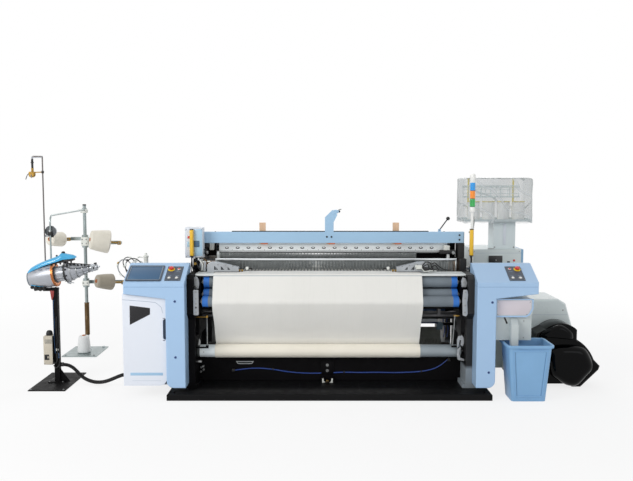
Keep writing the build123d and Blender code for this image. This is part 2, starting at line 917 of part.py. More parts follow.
# Operator panels: touch screen bezel and the two key plates, on the slopes
screen_width = 272
screen_length = 212
screen_x = -1424
screen_thickness = 8
bezel = 16
with BuildPart() as operator_panels:
    with BuildSketch(panel_plane(screen_x)) as bezel_face:
        with Locations((0, key_plate_start + screen_length / 2 - 6)):
            RectangleRounded(screen_width, screen_length, 8)
    extrude(bezel_face.sketch, amount=screen_thickness)
    with BuildSketch(panel_plane(screen_x).offset(screen_thickness)) as glass_face:
        with Locations((0, key_plate_start + screen_length / 2 - 6)):
            Rectangle(screen_width - 2 * bezel, screen_length - 2 * bezel)
    extrude(glass_face.sketch, amount=-2, mode=Mode.SUBTRACT)
    for plate_x, stop_side in ((left_plate_x, -1), (right_plate_x, 1)):
        plane, places = key_places(plate_x, stop_side)
        with BuildSketch(plane) as plate:
            with Locations((0, key_plate_start + key_plate_length / 2)):
                RectangleRounded(key_plate_width, key_plate_length, 6)
            with Locations(*places):
                Circle(key_radius + slide_clearance, mode=Mode.SUBTRACT)
        extrude(plate.sketch, amount=key_plate_thickness)
operator_panels.part.label = "operator_panels"
export_step(operator_panels.part, "parts/operator_panels.step")

# Stop buttons and keys: each slides along the normal of its panel
ring_height = 3
stop_gap = key_plate_thickness + ring_height + stop_travel + 2
stem_depth = 14


def stop_button(plane, place):
    with BuildPart() as button:
        with BuildSketch(plane.offset(-stem_depth)):
            with Locations(place):
                Circle(stop_stem_radius)
        extrude(amount=stem_depth + stop_gap)
        with BuildSketch(plane.offset(stop_gap)):
            with Locations(place):
                Circle(stop_head_radius)
        extrude(amount=12, taper=14)
    return button


def push_key(plane, place):
    with BuildPart() as key:
        with BuildSketch(plane.offset(-stem_depth / 2)):
            with Locations(place):
                Circle(key_radius)
        extrude(amount=stem_depth / 2 + key_plate_thickness + key_travel + 1.5)
    return key


for plate_side, plate_x, stop_side in (("left", left_plate_x, -1), ("right", right_plate_x, 1)):
    plane, places = key_places(plate_x, stop_side)
    stop = stop_button(plane, places[0])
    stop.part.label = f"{plate_side}_stop_button"
    export_step(stop.part, f"parts/{plate_side}_stop_button.step")
    for number in (1, 2, 3):
        key = push_key(plane, places[number])
        key.part.label = f"{plate_side}_key_{number}"
        export_step(key.part, f"parts/{plate_side}_key_{number}.step")

# Lift-off hinges: a lower knuckle with the pin and an upper knuckle that sits on it
hinge_radius = 5
hinge_pin = 2.5
hinge_leaf = 8
hinge_length = 36
hinge_gap = hinge_radius + seat_clearance


def lower_knuckle(axis, leaf_x, leaf_y, bottom):
    top = bottom + hinge_length
    slab(sorted(leaf_x), sorted(leaf_y), (bottom, top))
    bar_z(axis, hinge_radius, (bottom, top))
    bar_z(axis, hinge_pin, (top, top + hinge_length))


def upper_knuckle(axis, leaf_x, leaf_y, bottom):
    low = bottom + hinge_length + seat_clearance
    high = low + hinge_length
    slab(sorted(leaf_x), sorted(leaf_y), (low, high))
    bar_z(axis, hinge_radius, (low, high))
    bar_z(axis, hinge_pin + shaft_clearance, (low, high), mode=Mode.SUBTRACT)


# Left housing: an open-fronted box behind the door, bolted to the side frame
housing_wall = 5
housing_left = -1577
housing_front = -790
housing_back = -300
housing_bottom = 102
housing_top = 780
left_hinge = (housing_left - hinge_gap, housing_front + hinge_radius)
left_hinge_heights = (190, 620)
left_hinge_y = (left_hinge[1] - hinge_leaf / 2, left_hinge[1] + hinge_leaf / 2)
with BuildPart() as left_housing:
    slab((housing_left, left_outer), (housing_front, housing_back), (housing_bottom, housing_top))
    slab(
        (housing_left + housing_wall, left_cover_inner - cover_column - 2 * cover_wall),
        (housing_front, housing_back - housing_wall),
        (housing_bottom + housing_wall, housing_top - housing_wall),
        mode=Mode.SUBTRACT,
    )
    slab(
        (left_cover_inner - cover_column - cover_wall, left_outer),
        (housing_front, cover_back),
        (housing_bottom, housing_top),
        mode=Mode.SUBTRACT,
    )
    for height in left_hinge_heights:
        lower_knuckle(left_hinge, (left_hinge[0], housing_left), left_hinge_y, height)
left_housing.part.label = "left_housing"
export_step(left_housing.part, "parts/left_housing.step")

# Left door: a panel with a sloped top, a large corner and a finger notch
door_thickness = 30
door_gap = 4
door_left = left_hinge[0] - hinge_radius
door_right = left_cover_inner - cover_column - door_gap
door_bottom = 102
door_top = cover_band_bottom - door_gap
notch_low = 460
notch_high = 625
notch_depth = 24
with BuildPart() as left_door:
    with BuildSketch(at_y(housing_front - seat_clearance)) as door_face:
        with BuildLine():
            Polyline(
                (door_left, door_bottom),
                (door_right, door_bottom),
                (door_right, door_top),
                (door_left, door_top + cover_band_rise),
                close=True,
            )
        make_face()
        door_corner = door_face.vertices().sort_by_distance((door_right, housing_front, door_top))[0]
        fillet(door_corner, cover_corner)
        with Locations((door_right, (notch_low + notch_high) / 2)):
            RectangleRounded(2 * notch_depth, notch_high - notch_low, notch_depth - 2, mode=Mode.SUBTRACT)
    extrude(amount=door_thickness)
    for height in left_hinge_heights:
        upper_knuckle(
            left_hinge, (door_left, left_hinge[0]), (housing_front - seat_clearance, left_hinge[1]), height
        )
left_door.part.label = "left_door"
export_step(left_door.part, "parts/left_door.step")

# Right housing: grey cover behind the right column, with the trim chute on its front
right_housing_right = 1560
right_housing_front = -780
right_housing_back = -250
right_housing_bottom = 450
right_housing_top = 770
inner_cover_bottom = 640
inner_cover_left = right_cover_inner + cover_column + 6
inner_cover_depth = 24
chute_left = 1392
chute_right = 1446
chute_bottom = 400
chute_front = -840
with BuildPart() as right_housing:
    slab(
        (right_outer, right_housing_right),
        (right_housing_front, right_housing_back),
        (right_housing_bottom, right_housing_top),
    )
    slab(
        (right_outer, right_cover_inner + cover_column + cover_wall),
        (right_housing_front, cover_back),
        (right_housing_bottom, right_housing_top),
        mode=Mode.SUBTRACT,
    )
    inner_cover_x = (inner_cover_left + right_housing_right) / 2
    inner_cover_z = (inner_cover_bottom + right_housing_top) / 2
    with BuildSketch(at_y(right_housing_front)) as inner_cover:
        with Locations((inner_cover_x, inner_cover_z)):
            Rectangle(right_housing_right - inner_cover_left, right_housing_top - inner_cover_bottom)
        fillet(inner_cover.vertices().group_by(Axis.Z)[0].sort_by(Axis.X)[-1], 30)
    extrude(inner_cover.sketch, amount=inner_cover_depth)
    prism(
        at_x(chute_left),
        (
            (right_housing_front, inner_cover_bottom - 10),
            (chute_front, inner_cover_bottom - 60),
            (chute_front, chute_bottom),
            (chute_front + 45, chute_bottom),
            (right_housing_front, right_housing_bottom + 40),
        ),
        chute_right - chute_left,
    )
right_housing.part.label = "right_housing"
export_step(right_housing.part, "parts/right_housing.step")

# Light curtain: terminal box on the left tower and a bar at each side
box_left = -1175
box_right = -1026
box_front = -400
box_bottom = tower_height - 114
box_top = tower_height + 134
bar_width = 32
bar_depth = 30
bar_inset = 12
bar_bottom = box_bottom + bar_inset
bar_top = box_top - bar_inset
left_bar_x = -1116
pole_x = 1176
pole_y = -360
pole_radius = 12
right_bar_x = pole_x - 8
with BuildPart() as light_curtain:
    slab((box_left, box_right), (box_front, tower_front), (box_bottom, box_top))
    chamfer(light_curtain.edges().filter_by(Axis.Z), 5)
    left_bar_y = (box_front - bar_depth, box_front)
    right_bar_y = (pole_y - pole_radius - bar_depth, pole_y - pole_radius)
    round_slab(
        (left_bar_x - bar_width / 2, left_bar_x + bar_width / 2), left_bar_y, (bar_bottom, bar_top), 6
    )
    round_slab(
        (right_bar_x - bar_width / 2, right_bar_x + bar_width / 2), right_bar_y, (bar_bottom, bar_top), 6
    )
light_curtain.part.label = "light_curtain"
export_step(light_curtain.part, "parts/light_curtain.step")

# Signal tower: bracket on the right frame, pole and a stack of lamps
lamp_radius = 22
lamp_height = 62
lamp_base = 42
lamp_joint = 4
stack_rise = 258
stack_bottom = tower_height + stack_rise
lamp_count = 3
cap_height = 72
pole_bracket = 24
pole_bracket_depth = 60
pole_foot = (20, 60)
with BuildPart() as signal_tower:
    slab(
        (right_outer, pole_x + pole_bracket),
        (pole_y - pole_bracket_depth / 2, pole_y + pole_bracket_depth / 2),
        (front_shelf_height + pole_foot[0], front_shelf_height + pole_foot[1]),
    )
    bar_z((pole_x, pole_y), pole_radius, (front_shelf_height + pole_foot[1], stack_bottom))
    bar_z((pole_x, pole_y), lamp_radius, (stack_bottom, stack_bottom + lamp_base))
    for lamp in range(lamp_count):
        lamp_z = stack_bottom + lamp_base + lamp * (lamp_height + lamp_joint)
        bar_z((pole_x, pole_y), lamp_radius - 2, (lamp_z, lamp_z + lamp_joint))
        bar_z((pole_x, pole_y), lamp_radius, (lamp_z + lamp_joint, lamp_z + lamp_joint + lamp_height))
    cap_z = stack_bottom + lamp_base + lamp_count * (lamp_height + lamp_joint)
    bar_z((pole_x, pole_y), lamp_radius, (cap_z, cap_z + cap_height))
    fillet(signal_tower.edges().group_by(Axis.Z)[-1], 10)
signal_tower.part.label = "signal_tower"
export_step(signal_tower.part, "parts/signal_tower.step")

# Control cabinet on its plinth, open on the door side
cabinet_gap = 31
cabinet_width = 430
cabinet_left = platform_length / 2 + cabinet_gap
cabinet_right = cabinet_left + cabinet_width
cabinet_front = 100
cabinet_depth = 460
cabinet_top = 1072
cabinet_wall = 5
plinth_height = 60
plinth_inset = 30
cabinet_back = cabinet_front + cabinet_depth
switch_x = cabinet_left + 203
switch_z = 968
switch_plate = (122, 98)
switch_plate_thickness = 10
switch_collar = 22
cabinet_hinge = (cabinet_right - hinge_radius, cabinet_back + hinge_gap)
cabinet_hinge_heights = (200, 820)
cabinet_hinge_x = (cabinet_hinge[0] - hinge_leaf / 2, cabinet_hinge[0] + hinge_leaf / 2)
with BuildPart() as cabinet:
    slab(
        (cabinet_left, cabinet_right),
        (cabinet_front, cabinet_back),
        (plinth_height, cabinet_top),
    )
    slab(
        (cabinet_left + cabinet_wall, cabinet_right),
        (cabinet_front + cabinet_wall, cabinet_back - cabinet_wall),
        (plinth_height + cabinet_wall, cabinet_top - cabinet_wall),
        mode=Mode.SUBTRACT,
    )
    slab(
        (cabinet_left + plinth_inset, cabinet_right - plinth_inset),
        (cabinet_front + plinth_inset, cabinet_back - plinth_inset),
        (0, plinth_height),
    )
    with BuildSketch(at_y(cabinet_front)) as switch_face:
        with Locations((switch_x, switch_z)):
            Rectangle(*switch_plate)
        chamfer(switch_face.vertices().group_by(Axis.Z)[0].sort_by(Axis.X)[0], 22)
    extrude(switch_face.sketch, amount=switch_plate_thickness)
    with BuildSketch(at_y(cabinet_front)) as switch_recess:
        with Locations((switch_x, switch_z)):
            Circle(switch_collar + shaft_clearance)
    extrude(switch_recess.sketch, amount=switch_plate_thickness, mode=Mode.SUBTRACT)
    for height in cabinet_hinge_heights:
        lower_knuckle(cabinet_hinge, cabinet_hinge_x, (cabinet_back, cabinet_hinge[1]), height)
cabinet.part.label = "cabinet"
export_step(cabinet.part, "parts/cabinet.step")

# Cabinet door: a flat panel on the right side, hinged at the rear edge
cabinet_door_thickness = 22
cabinet_door_face = cabinet_right + seat_clearance
cabinet_door_back = cabinet_hinge[1] + hinge_radius
with BuildPart() as cabinet_door:
    slab(
        (cabinet_door_face, cabinet_door_face + cabinet_door_thickness),
        (cabinet_front + door_gap, cabinet_door_back),
        (plinth_height, cabinet_top),
    )
    chamfer(cabinet_door.faces().sort_by(Axis.X)[-1].edges(), 3)
    for height in cabinet_hinge_heights:
        upper_knuckle(
            cabinet_hinge,
            (cabinet_hinge[0], cabinet_door_face),
            (cabinet_hinge[1], cabinet_door_back),
            height,
        )
cabinet_door.part.label = "cabinet_door"
export_step(cabinet_door.part, "parts/cabinet_door.step")

# Main switch: round boss with a grip, turning in its plate
grip_width = 12
grip_height = 14
with BuildPart() as main_switch:
    with BuildSketch(at_y(cabinet_front - seat_clearance)):
        with Locations((switch_x, switch_z)):
            Circle(switch_collar)
    extrude(amount=14)
    with BuildSketch(at_y(cabinet_front - seat_clearance - 14)):
        with Locations((switch_x, switch_z)):
            SlotOverall(2 * switch_collar - 4, grip_width, rotation=90)
    extrude(amount=grip_height)
main_switch.part.label = "main_switch"
export_step(main_switch.part, "parts/main_switch.step")

# Bobbin rack: column on the cabinet, tray, uprights and an upper grid
column_left = cabinet_left + 189
column_right = cabinet_right - 47
column_front = 130
column_depth = 200
rack_bottom = 1320
tray_left = cabinet_left - 83
tray_right = cabinet_right + 75
tray_front = 60
tray_depth = 340
tray_rim = 20
tray_plate = 6
upright_radius = 7
grid_height = 1640
film_thickness = 3
film_margin = 12
film_rise = 66
film_top = grid_height + film_rise
upright_top = film_top - film_thickness - seat_clearance
tray_back = tray_front + tray_depth
with BuildPart() as bobbin_rack:
    slab(
        (column_left, column_right),
        (column_front, column_front + column_depth),
        (cabinet_top, rack_bottom),
    )
    slab((tray_left, tray_right), (tray_front, tray_back), (rack_bottom, rack_bottom + tray_rim))
    slab(
        (tray_left + tray_plate, tray_right - tray_plate),
        (tray_front + tray_plate, tray_back - tray_plate),
        (rack_bottom + tray_plate, rack_bottom + tray_rim),
        mode=Mode.SUBTRACT,
    )
    upright_x = (tray_left + 90, tray_right - 90)
    upright_y = tray_back - 40
    for place_x in upright_x:
        bar_z((place_x, upright_y), upright_radius, (rack_bottom + tray_plate, upright_top))
    for grid_z in (grid_height - 20, grid_height - 110):
        bar_x((upright_y, grid_z), upright_radius - 1, (tray_left + 30, tray_right - 30))
    for rung in range(5):
        rung_x = tray_left + 120 + rung * 87
        bar_z((rung_x, upright_y), upright_radius - 3, (grid_height - 110, grid_height - 20))
bobbin_rack.part.label = "bobbin_rack"
export_step(bobbin_rack.part, "parts/bobbin_rack.step")

# Bobbins: four wound packages with end discs, standing on the tray
bobbin_count = 4
bobbin_radius = 58
bobbin_height = 170
bobbin_flange = 6
bobbin_pitch = 132
bobbin_y = 150
bobbin_floor = rack_bottom + tray_plate
with BuildPart() as rack_bobbins:
    for bobbin in range(bobbin_count):
        bobbin_x = (tray_left + tray_right) / 2 + (bobbin - (bobbin_count - 1) / 2) * bobbin_pitch
        bar_z((bobbin_x, bobbin_y), bobbin_radius, (bobbin_floor, bobbin_floor + bobbin_flange))
        bar_z(
            (bobbin_x, bobbin_y),
            bobbin_radius - 4,
            (bobbin_floor + bobbin_flange, bobbin_floor + bobbin_height - bobbin_flange),
        )
        bar_z(
            (bobbin_x, bobbin_y),
            bobbin_radius,
            (bobbin_floor + bobbin_height - bobbin_flange, bobbin_floor + bobbin_height),
        )
rack_bobbins.part.label = "rack_bobbins"
export_step(rack_bobbins.part, "parts/rack_bobbins.step")

# Film cover: a thin bag over the rack, open below the tray rim
film_bottom = rack_bottom - 8
with BuildPart() as film_cover:
    with BuildSketch(at_z(film_bottom)):
        with Locations(((tray_left + tray_right) / 2, (tray_front + tray_back) / 2)):
            RectangleRounded(
                tray_right - tray_left + 2 * film_margin, tray_depth + 2 * film_margin, 30
            )
    extrude(amount=film_top - film_bottom)
    chamfer(film_cover.edges().group_by(Axis.Z)[-1], 22)
    offset(amount=-film_thickness, openings=film_cover.faces().sort_by(Axis.Z)[0])
film_cover.part.label = "film_cover"
export_step(film_cover.part, "parts/film_cover.step")

# Drive cover: grey hood before the cabinet, on the floor
drive_left = right_housing_right
drive_right = 2082
drive_top_right = 1985
drive_front = -300
drive_back = cabinet_front
drive_top = 690
drive_shoulder = 330
with BuildPart() as drive_cover:
    with BuildSketch(at_y(drive_back)) as hood:
        with BuildLine():
            Polyline(
                (drive_left, 0),
                (drive_right, 0),
                (drive_right, drive_shoulder),
                (drive_top_right, drive_top - 36),
                (drive_top_right - 60, drive_top),
                (drive_left, drive_top),
                close=True,
            )
        make_face()
    extrude(amount=drive_back - drive_front)
    chamfer(drive_cover.faces().sort_by(Axis.Y)[0].edges().sort_by(Axis.Z)[1:], 12)
drive_cover.part.label = "drive_cover"
export_step(drive_cover.part, "parts/drive_cover.step")

# Motor cover: low black hood with a domed top and a bevelled nose
motor_front = drive_front - 200
motor_back = drive_front
motor_left = drive_left + 130
motor_length = 521
motor_height = 525
motor_bevel = 12


def motor_point(along, up):
    """A point of the motor hood's outline, as shares of its length and height."""
    return (motor_left + along * motor_length, up * motor_height)


with BuildPart() as motor_cover:
    with BuildSketch(at_y(motor_back)) as motor_face:
        with BuildLine():
            Polyline(
                motor_point(0, 0.053),
                motor_point(0.5, 0.053),
                motor_point(0.568, 0),
                motor_point(0.706, 0),
                motor_point(0.979, 0.267),
                motor_point(1, 0.328),
                motor_point(0.902, 0.429),
            )
            ThreePointArc(motor_point(0.902, 0.429), motor_point(0.768, 0.638), motor_point(0.63, 0.743))
            Line(motor_point(0.63, 0.743), motor_point(0.63, 0.895))
            ThreePointArc(motor_point(0.63, 0.895), motor_point(0.388, 1), motor_point(0.134, 0.91))
            Polyline(motor_point(0.134, 0.91), motor_point(0, 0.838), motor_point(0, 0.053))
        make_face()
    extrude(amount=motor_back - motor_front)
    nose_edges = motor_cover.faces().sort_by(Axis.Y)[0].edges().sort_by(Axis.X)[-6:]
    chamfer(nose_edges, motor_bevel)
motor_cover.part.label = "motor_cover"
export_step(motor_cover.part, "parts/motor_cover.step")

# Waste bin: tapered box with a rim, open at the top
bin_gap = 272
bin_centre = (platform_length / 2 + bin_gap, -790)
bin_top_size = (330, 270)
bin_bottom_size = (262, 210)
bin_height = 439
bin_rim = 16
bin_rim_height = 20
bin_wall = 3
bin_corner = 24


def bin_section(size, grow, mode=Mode.ADD):
    with Locations(bin_centre):
        RectangleRounded(size[0] + 2 * grow, size[1] + 2 * grow, bin_corner + grow, mode=mode)


with BuildPart() as waste_bin:
    with BuildSketch():
        bin_section(bin_bottom_size, 0)
    with BuildSketch(at_z(bin_height)):
        bin_section(bin_top_size, 0)
    loft()
    with BuildSketch(at_z(bin_wall)):
        bin_section(bin_bottom_size, -bin_wall)
    with BuildSketch(at_z(bin_height)):
        bin_section(bin_top_size, -bin_wall)
    loft(mode=Mode.SUBTRACT)
    with BuildSketch(at_z(bin_height - bin_rim_height)):
        bin_section(bin_top_size, bin_rim)
        bin_section(bin_top_size, -bin_wall, mode=Mode.SUBTRACT)
    extrude(amount=bin_rim_height)
waste_bin.part.label = "waste_bin"
export_step(waste_bin.part, "parts/waste_bin.step")

# Feeder stand: floor plate, square post with a gusset, saddle arm and control box
stand_x = -2260
stand_y = -345
stand_plate = (300, 560)
stand_plate_thickness = 8
stand_post = 42
stand_post_top = 796
saddle_reach = 74
saddle_height = 26
gusset_length = 80
gusset_height = 110
gusset_thickness = 8
box_size = (76, 92, 236)
box_z = 160
post_left = stand_x - stand_post / 2
post_right = stand_x + stand_post / 2
with BuildPart() as feeder_stand:
    slab(
        (stand_x - stand_plate[0] / 2, stand_x + stand_plate[0] / 2),
        (stand_y - stand_plate[1] / 2, stand_y + stand_plate[1] / 2),
        (0, stand_plate_thickness),
    )
    slab(
        (post_left, post_right),
        (stand_y - stand_post / 2, stand_y + stand_post / 2),
        (stand_plate_thickness, stand_post_top),
    )
    slab(
        (post_left - saddle_reach, post_left),
        (stand_y - stand_post / 2, stand_y + stand_post / 2),
        (stand_post_top - saddle_height, stand_post_top),
    )
    prism(
        at_y(stand_y + gusset_thickness / 2),
        (
            (post_right, stand_plate_thickness),
            (post_right + gusset_length, stand_plate_thickness),
            (post_right, stand_plate_thickness + gusset_height),
        ),
        gusset_thickness,
    )
    slab(
        (post_left - box_size[0], post_left),
        (stand_y - box_size[1] / 2, stand_y + box_size[1] / 2),
        (box_z, box_z + box_size[2]),
    )
feeder_stand.part.label = "feeder_stand"
export_step(feeder_stand.part, "parts/feeder_stand.step")

# Weft feeder: housing, drum on its spindle, carrier arm, balloon breaker and guide post
feeder_pitch = 10
feeder_centre = (-2256, stand_y, 906)
feeder_axis = (cos(radians(feeder_pitch)), 0, sin(radians(feeder_pitch)))
feeder_ring = 16
drum_radius = 62
drum_length = 74
spindle_radius = 14
housing_length = 214
housing_radius = 96
housing_end_radius = 58
breaker_start = 100
breaker_length = 200
breaker_radius = 84
breaker_tip_radius = 20
breaker_nozzle = 50
arm_top = 110
arm_section = (34, 16)
arm_start = -110
socket_x = -2290
socket_top = 1030
guide_post_x = -2338
guide_post_radius = 5
guide_post_top = 1880
guide_hook_z = 1868
guide_hook_reach = 83
guide_hook_drop = 86
tension_disc_radius = 45
tension_disc_z = 1262
tension_disc_thickness = 16
tension_bracket = 12
tension_bracket_z = (1218, 1232)
tie_radius = 7


def feeder_plane(along):
    origin = tuple(c + along * a for c, a in zip(feeder_centre, feeder_axis))
    return Plane(origin=origin, x_dir=(0, 1, 0), z_dir=feeder_axis)


ring_half = feeder_ring / 2
with BuildPart() as weft_feeder:
    with BuildSketch(feeder_plane(-ring_half - seat_clearance - housing_length)):
        Circle(housing_end_radius)
    with BuildSketch(feeder_plane(-ring_half - seat_clearance - housing_length / 3)):
        Circle(housing_radius - 5)
    with BuildSketch(feeder_plane(-ring_half - seat_clearance)):
        Circle(housing_radius)
    loft()
    with BuildSketch(feeder_plane(-ring_half - seat_clearance)):
        Circle(spindle_radius)
    extrude(amount=feeder_ring + 2 * seat_clearance)
    with BuildSketch(feeder_plane(ring_half + seat_clearance)):
        Circle(drum_radius)
    extrude(amount=drum_length)
    with BuildSketch(feeder_plane(arm_start)):
        with Locations((0, arm_top - arm_section[1] / 2)):
            Rectangle(*arm_section)
    extrude(amount=breaker_start - arm_start)
    with BuildSketch(feeder_plane(arm_start)):
        with Locations((0, arm_top - arm_section[1])):
            Rectangle(arm_section[0], 2 * arm_section[1])
    extrude(amount=-arm_start - ring_half - seat_clearance)
    with BuildSketch(feeder_plane(breaker_start)):
        Circle(breaker_radius)
    with BuildSketch(feeder_plane(breaker_start + breaker_length)):
        Circle(breaker_tip_radius)
    loft()
    with BuildSketch(feeder_plane(breaker_start - arm_section[1])):
        with Locations((0, arm_top / 2 + breaker_radius / 4)):
            Rectangle(arm_section[0], arm_top - breaker_radius / 2)
    extrude(amount=arm_section[1])
    with BuildSketch(feeder_plane(breaker_start + breaker_length)):
        Circle(breaker_tip_radius + 4)
    extrude(amount=breaker_nozzle)
    slab(
        (post_left - saddle_reach + 4, post_left - 14),
        (stand_y - 18, stand_y + 18),
        (stand_post_top, stand_post_top + 60),
    )
    bar_z((socket_x, stand_y), 11, (feeder_centre[2] + arm_top - 20, socket_top))
    bar_z((guide_post_x, stand_y), guide_post_radius, (feeder_centre[2] + 60, guide_post_top))
    bar_x(
        (stand_y, guide_hook_z),
        guide_post_radius - 1,
        (guide_post_x - guide_hook_reach, guide_post_x),
    )
    bar_z(
        (guide_post_x - guide_hook_reach, stand_y),
        guide_post_radius + 3,
        (guide_hook_z - guide_hook_drop, guide_hook_z + 6),
    )
    bracket_front = stand_y + tie_radius + seat_clearance
    bracket_back = bracket_front + tension_bracket
    slab(
        (guide_post_x - guide_post_radius, socket_x + 2 * tie_radius),
        (bracket_front, bracket_back),
        tension_bracket_z,
    )
    slab(
        (guide_post_x - guide_post_radius, guide_post_x + guide_post_radius),
        (stand_y, bracket_back),
        tension_bracket_z,
    )
    with BuildSketch(at_y(bracket_back + tension_disc_thickness)) as tension_disc:
        with Locations((guide_post_x + tension_disc_radius, tension_disc_z)):
            Circle(tension_disc_radius)
    extrude(tension_disc.sketch, amount=tension_disc_thickness)
weft_feeder.part.label = "weft_feeder"
export_step(weft_feeder.part, "parts/weft_feeder.step")

# Feeder disc: the winding disc that turns on the spindle between housing and drum
with BuildPart() as feeder_disc:
    with BuildSketch(feeder_plane(-ring_half)):
        Circle(arm_top - arm_section[1] - 2)
        Circle(spindle_radius + shaft_clearance, mode=Mode.SUBTRACT)
    extrude(amount=feeder_ring)
feeder_disc.part.label = "feeder_disc"
export_step(feeder_disc.part, "parts/feeder_disc.step")

# Creel stand: floor plate, post with sleeve, clamps, arms with knuckles, pegs and tie tube
creel_x = -2362
creel_y = 810
creel_plate = (330, 420)
creel_plate_y = 737
creel_plate_thickness = 10
creel_post_radius = 16
creel_post_top = 1440
sleeve_radius = 22
sleeve_bottom = 160
sleeve_top = 480
arm_height = 34
arm_depth = 10
clamp_radius = 30
clamp_half = 42
peg_radius = 6
knuckle = 26
arm_offset = 62
clamp_width = 40
tie_height = 1392
cone_tube_radius = 14
cone_nose_recess = 30

# Each held cone: arm height, knuckle X, direction of the peg, peg reach, nose and base radius, length
held_cones = (
    (1066, -2032, (-0.896, -0.417, 0.153), 96, 82, 102, 165),
    (1104, -2524, (-0.500, -0.863, 0.070), 78, 58, 68, 150),
    (676, -2000, (-0.777, -0.615, 0.138), 112, 60, 76, 158),
)
knuckle_y = creel_y + 7
arm_front = creel_y + arm_offset
arm_back = arm_front + arm_depth


def peg_plane(cone, along):
    height, x, direction = cone[0], cone[1], cone[2]
    start = (x, knuckle_y, height)
    origin = tuple(c + along * d for c, d in zip(start, direction))
    return Plane(origin=origin, z_dir=direction)


with BuildPart() as creel_stand:
    slab(
        (creel_x - creel_plate[0] / 2, creel_x + creel_plate[0] / 2),
        (creel_plate_y - creel_plate[1] / 2, creel_plate_y + creel_plate[1] / 2),
        (0, creel_plate_thickness),
    )
    bar_z((creel_x, creel_y), creel_post_radius, (creel_plate_thickness, creel_post_top))
    bar_z((creel_x, creel_y), sleeve_radius, (sleeve_bottom, sleeve_top))
    for cone in held_cones:
        arm_z, knuckle_x = cone[0], cone[1]
        bar_z((creel_x, creel_y), clamp_radius, (arm_z - clamp_half, arm_z + clamp_half))
        slab(
            (creel_x - clamp_width / 2, creel_x + clamp_width / 2),
            (creel_y, arm_back),
            (arm_z - arm_height / 2, arm_z + arm_height / 2),
        )
        slab(
            sorted((creel_x, knuckle_x)),
            (arm_front, arm_back),
            (arm_z - arm_height / 2, arm_z + arm_height / 2),
        )
        slab(
            (knuckle_x - knuckle / 2, knuckle_x + knuckle / 2),
            (knuckle_y - knuckle / 2, arm_front),
            (arm_z - knuckle / 2, arm_z + knuckle / 2),
        )
        with BuildSketch(peg_plane(cone, 0)):
            Circle(peg_radius)
        extrude(amount=cone[3] + cone[6] - cone_nose_recess)
    tie_clamp = (tie_height - 2 * tie_radius, tie_height + 2 * tie_radius)
    bar_z((creel_x, creel_y), clamp_radius - 6, tie_clamp)
    with BuildLine() as tie_line:
        FilletPolyline(
            (creel_x, creel_y, tie_height),
            (socket_x, stand_y, tie_height),
            (socket_x, stand_y, socket_top),
            radius=60,
        )
    with BuildSketch(Plane(origin=tie_line.line @ 0, z_dir=tie_line.line % 0)):
        Circle(tie_radius)
    sweep(path=tie_line.line)
creel_stand.part.label = "creel_stand"
export_step(creel_stand.part, "parts/creel_stand.step")

# Yarn cones: three on the pegs and one standing on the plate
floor_cone_place = (creel_x, 690, 0)
floor_cone = (50, 62, 165)
cone_round = 14


def cone_body(plane, nose_radius, base_radius, length):
    """A tapered package with rounded shoulders, bored for its tube and recessed at the nose."""
    with BuildPart() as package:
        with BuildSketch(plane):
            Circle(base_radius)
        with BuildSketch(plane.offset(length)):
            Circle(nose_radius)
        loft()
        rims = package.edges().filter_by(GeomType.CIRCLE).sort_by(SortBy.RADIUS)
        fillet(rims, cone_round)
        with BuildSketch(plane):
            Circle(peg_radius + seat_clearance)
        extrude(amount=length, mode=Mode.SUBTRACT)
        with BuildSketch(plane.offset(length - cone_nose_recess)):
            Circle(cone_tube_radius)
        extrude(amount=cone_nose_recess, mode=Mode.SUBTRACT)
    return package.part


cone_bodies = [cone_body(peg_plane(cone, cone[3]), *cone[4:]) for cone in held_cones]
cone_bodies.append(cone_body(at_z(creel_plate_thickness).move(Location(floor_cone_place)), *floor_cone))
with BuildPart() as yarn_cones:
    for body in cone_bodies:
        add(body)
yarn_cones.part.label = "yarn_cones"
export_step(yarn_cones.part, "parts/yarn_cones.step")


# Hoses: straight runs joined by arcs as large as the runs allow
def hose_radii(points):
    radii = []
    for before, corner, after in zip(points, points[1:], points[2:]):
        first = Vector(*corner) - Vector(*before)
        second = Vector(*after) - Vector(*corner)
        shorter = min(first.length, second.length)
        turn = radians(first.get_angle(second))
        radii.append(0.45 * shorter / tan(turn / 2))
    return radii


def hose(points, radius, name):
    radii = hose_radii(points)
    print(name, "radii", [round(r) for r in radii])
    with BuildPart() as tube:
        with BuildLine() as route:
            FilletPolyline(*points, radius=radii)
        with BuildSketch(Plane(origin=route.line @ 0, z_dir=route.line % 0)):
            Circle(radius)
        sweep(path=route.line)
    length = route.wires()[0].length
    ratio = tube.part.volume / (pi * radius * radius * length)
    print(name, "length", round(length), "volume over section times length", round(ratio, 4))
    return tube


# Corrugated hose: from the feeder post over the floor to the left housing
corrugated_radius = 15
corrugated_points = (
    (post_right, stand_y, 150),
    (-2192, stand_y, 150),
    (-2139, -348, 131),
    (-2095, -354, 91),
    (-2053, -369, 51),
    (-1997, -390, 27),
    (-1929, -422, 19),
    (-1858, -452, 28),
    (-1794, -482, 52),
    (-1736, -508, 81),
    (-1682, -527, 106),
    (-1630, -536, 121),
    (housing_left, -536, 121),
)
corrugated_hose = hose(corrugated_points, corrugated_radius, "corrugated_hose")
corrugated_hose.part.label = "corrugated_hose"
export_step(corrugated_hose.part, "parts/corrugated_hose.step")

